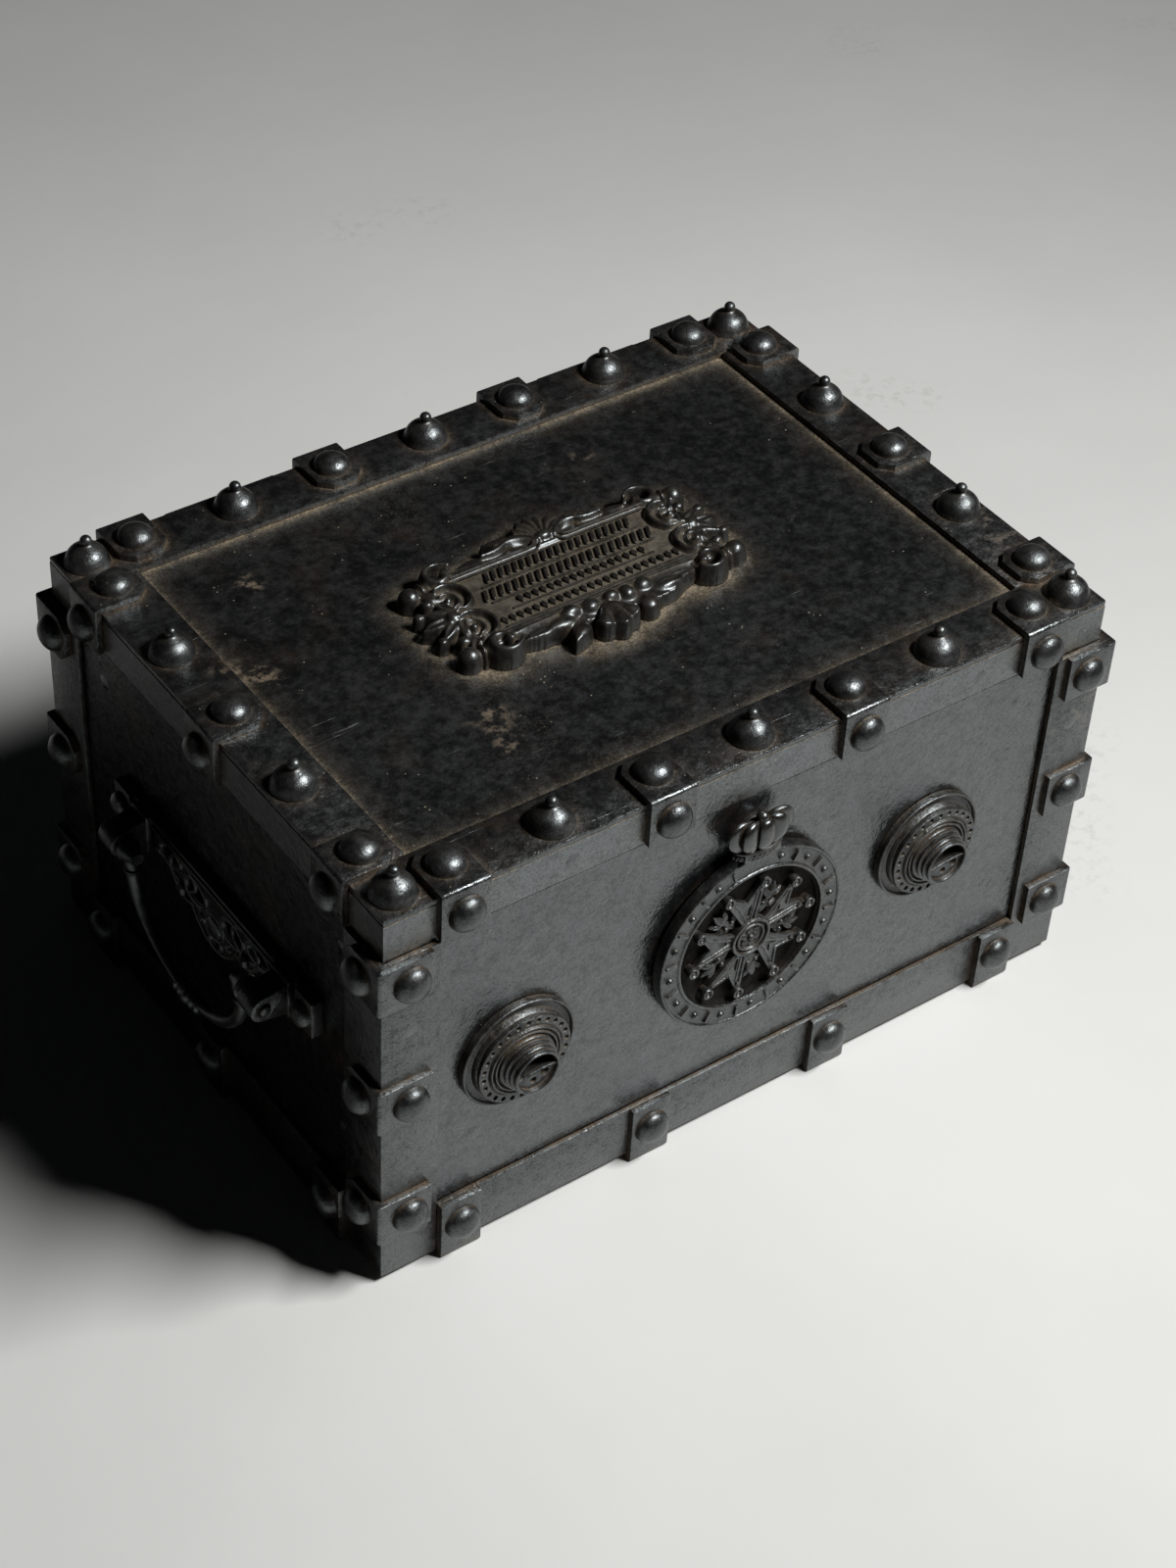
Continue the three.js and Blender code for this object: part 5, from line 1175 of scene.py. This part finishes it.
def hinges():
    head = screw()
    back = HALF_D + GAP
    leaf_y, half = (back, back + 2.5), 30
    pin_y, pin_z = pivot("lid_hinge")
    for side in ("left", "right"):
        low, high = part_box(f"{side}_hinge_pin")
        x = (low[X] + high[X]) * 500
        for body, sign, spans in (("case", -1, ((-half, -14), (14, half))), ("lid", 1, ((-13.7, 13.7),))):
            name = f"{side}_hinge_{'lid' if sign > 0 else 'body'}_leaf"
            piece = stand_in(name, body, "frame_iron", FRAME)
            z = sorted((SEAM_Z + sign * 4.8, SEAM_Z + sign * 20.5))
            piece.add(cuboid((x - half, x + half), leaf_y, z, 0.5))
            for a, b in spans:
                barrel = lathe([(0, 0), (4.6, 0), (5, 0.4), (5, b - a - 0.4), (4.6, b - a), (0, b - a)], 32)
                piece.add(barrel, move(x + a, pin_y, pin_z) @ turn(QUARTER, "Y"))
                tab = sorted((SEAM_Z + sign * 1.2, SEAM_Z + sign * 5.8))
                piece.add(cuboid((x + a, x + b), leaf_y, tab, 0.3))
            for k in (-1, 0, 1):
                at = move(x + k * 21, leaf_y[1], SEAM_Z + sign * 13.5)
                piece.add(head, at @ turn(-QUARTER, "X") @ turn(0.5 + k, "Z"))
            piece.make()
        pin = [(0, -33.9), (1.6, -33.8), (3.0, -32.9), (3.6, -31.4), (3.6, -30.6), (3.2, -30.3), (2.4, -30.3),
               (2.4, 30.3), (3.2, 30.3), (3.6, 30.6), (3.6, 31.4), (3.0, 32.9), (1.6, 33.8), (0, 33.9)]
        stand_in(f"{side}_hinge_pin", "case", "frame_iron", POLISHED).add(
            lathe(pin, 28), move(x, pin_y, pin_z) @ turn(QUARTER, "Y")).make()


def flush_rivets():
    """Faint rivets hammered flush with the sheet, and the screws of the lid's inner plate."""
    flush = lathe([(0, -0.2), (4.2, -0.2), (4.2, 0.02), (3.9, 0.12), (3.5, 0.1), (3.2, 0.2), (0, 0.26)], 32)
    front = [(-152, 68.5), (152, 68.5), (152, 183.5), (-152, 183.5)]
    piece = Piece("flush_rivets", "case", "panel_iron", PANEL)
    for x, z in front:
        piece.add(flush, facing(x, z, -HALF_D))
        piece.add(flush, move(x, HALF_D, z) @ turn(-QUARTER, "X"))
    for y in (-112, 96):
        for z in (68.5, 183.5):
            for s in (-1, 1):
                piece.add(flush, move(s * HALF_W, y, z) @ turn(s * QUARTER, "Y"))
    for sx in (-1, 1):
        for z in (158.5, 68.5):
            piece.add(put(flush, mirror(0.9, 0.9, 1)), facing(sx * 188, z, -HALF_D - GAP - ANGLE_T))
    piece.make()
    lid = Piece("lid_flush_rivets", "lid", "panel_iron", PANEL)
    for x in (-104, 125):
        lid.add(flush, facing(x, 212.5, -HALF_D))
    lid.make()
    screws = Piece("lid_plate_screws", "lid", "lock_steel", STEEL)
    head = screw(3.2, 0.9)
    for x in (-150, -50, 50, 150):
        for y in (-92, 98):
            screws.add(head, move(x, y, SEAM_Z - 6) @ turn(pi, "X") @ turn(0.4 + x * 0.01 + y * 0.02, "Z"))
    screws.make()


dials()
cover_ring()
cover_star()
bulb()
cartouche()
handles()
hinges()
flush_rivets()


# Floor, light and camera
def stage():
    """The pale painted floor, 16 m wide."""
    mesh = bpy.data.meshes.new("floor")
    mesh.from_pydata([(x, y, 0) for x, y in rect((-8, 8), (-8, 8))], [], [(0, 1, 2, 3)])
    floor = show("floor", mesh)
    s = Shader("floor_paint")
    paint = s.ramp(s.noise(2.2, 5, 0.6), (0.3, (0.68, 0.685, 0.675)), (0.7, (0.73, 0.735, 0.725)))
    # scattered specks and faint scuffs
    worn = s.noise(5, 2, 0.5)
    dots = s.times(s.ramp(s.cells(14), (0.02, 0.7), (0.035, 0.0)), s.ramp(worn, (0.55, 0.0), (0.6, 1.0)))
    scuffs = s.times(s.ramp(worn, (0.62, 0.0), (0.72, 0.5)),
                     s.ramp(s.noise(130, 4, 0.7), (0.5, 0.0), (0.62, 0.5)))
    s.feed(s.inputs["Base Color"], s.mix(s.math("MAXIMUM", dots, scuffs), paint, (0.36, 0.35, 0.32)))
    s.inputs["Roughness"].default_value = 0.75
    s.bump(s.noise(14, 6, 0.6), 0.12, 0.002)
    mesh.materials.append(s.material)


def window():
    """The one light: a low window at the right, and hardly any glow from the room."""
    light = bpy.data.lights.new("window", "AREA")
    light.shape = "RECTANGLE"
    light.size, light.size_y = 0.64, 0.2
    light.energy = 37.5
    light.color = (1.0, 0.995, 0.975)
    obj = show("window", light)
    at, to = Vector((0.554, -0.71, 1.31)), Vector((-1.819, 2.0, 0))
    obj.location = at
    obj.rotation_euler = (to - at).to_track_quat("-Z", "Y").to_euler()
    world = bpy.data.worlds.new("world")
    bpy.context.scene.world = world
    world.use_nodes = True
    glow = world.node_tree.nodes["Background"].inputs
    glow["Color"].default_value = (0.7, 0.76, 0.85, 1)
    glow["Strength"].default_value = 0.004


def camera():
    """The photo's camera, solved from the lid's corners, the seam and the rows of rivets."""
    wide, focal, off_x, off_y = 1200, 3187.8, 20.7, 3.5     # in the photo's pixels
    sensor = 36
    data = bpy.data.cameras.new("camera")
    data.sensor_fit = "HORIZONTAL"
    data.sensor_width = sensor
    data.lens = focal / wide * sensor
    data.shift_x, data.shift_y = off_x / wide, off_y / wide
    data.clip_end = 50
    forward = Vector((0.4492, 0.5946, -0.6668)).normalized()
    right = Vector((0.8186, -0.5729, 0.0406)).normalized()
    up = right.cross(forward).normalized()
    right = forward.cross(up).normalized()
    matrix = Matrix((right, up, -forward)).transposed().to_4x4()
    matrix.translation = Vector((-0.6936, -0.9181 + SHIFT_Y, 1.1246))
    obj = show("camera", data)
    obj.matrix_world = matrix
    bpy.context.scene.camera = obj


stage()
camera()
window()
bpy.context.scene.view_settings.view_transform = "Standard"
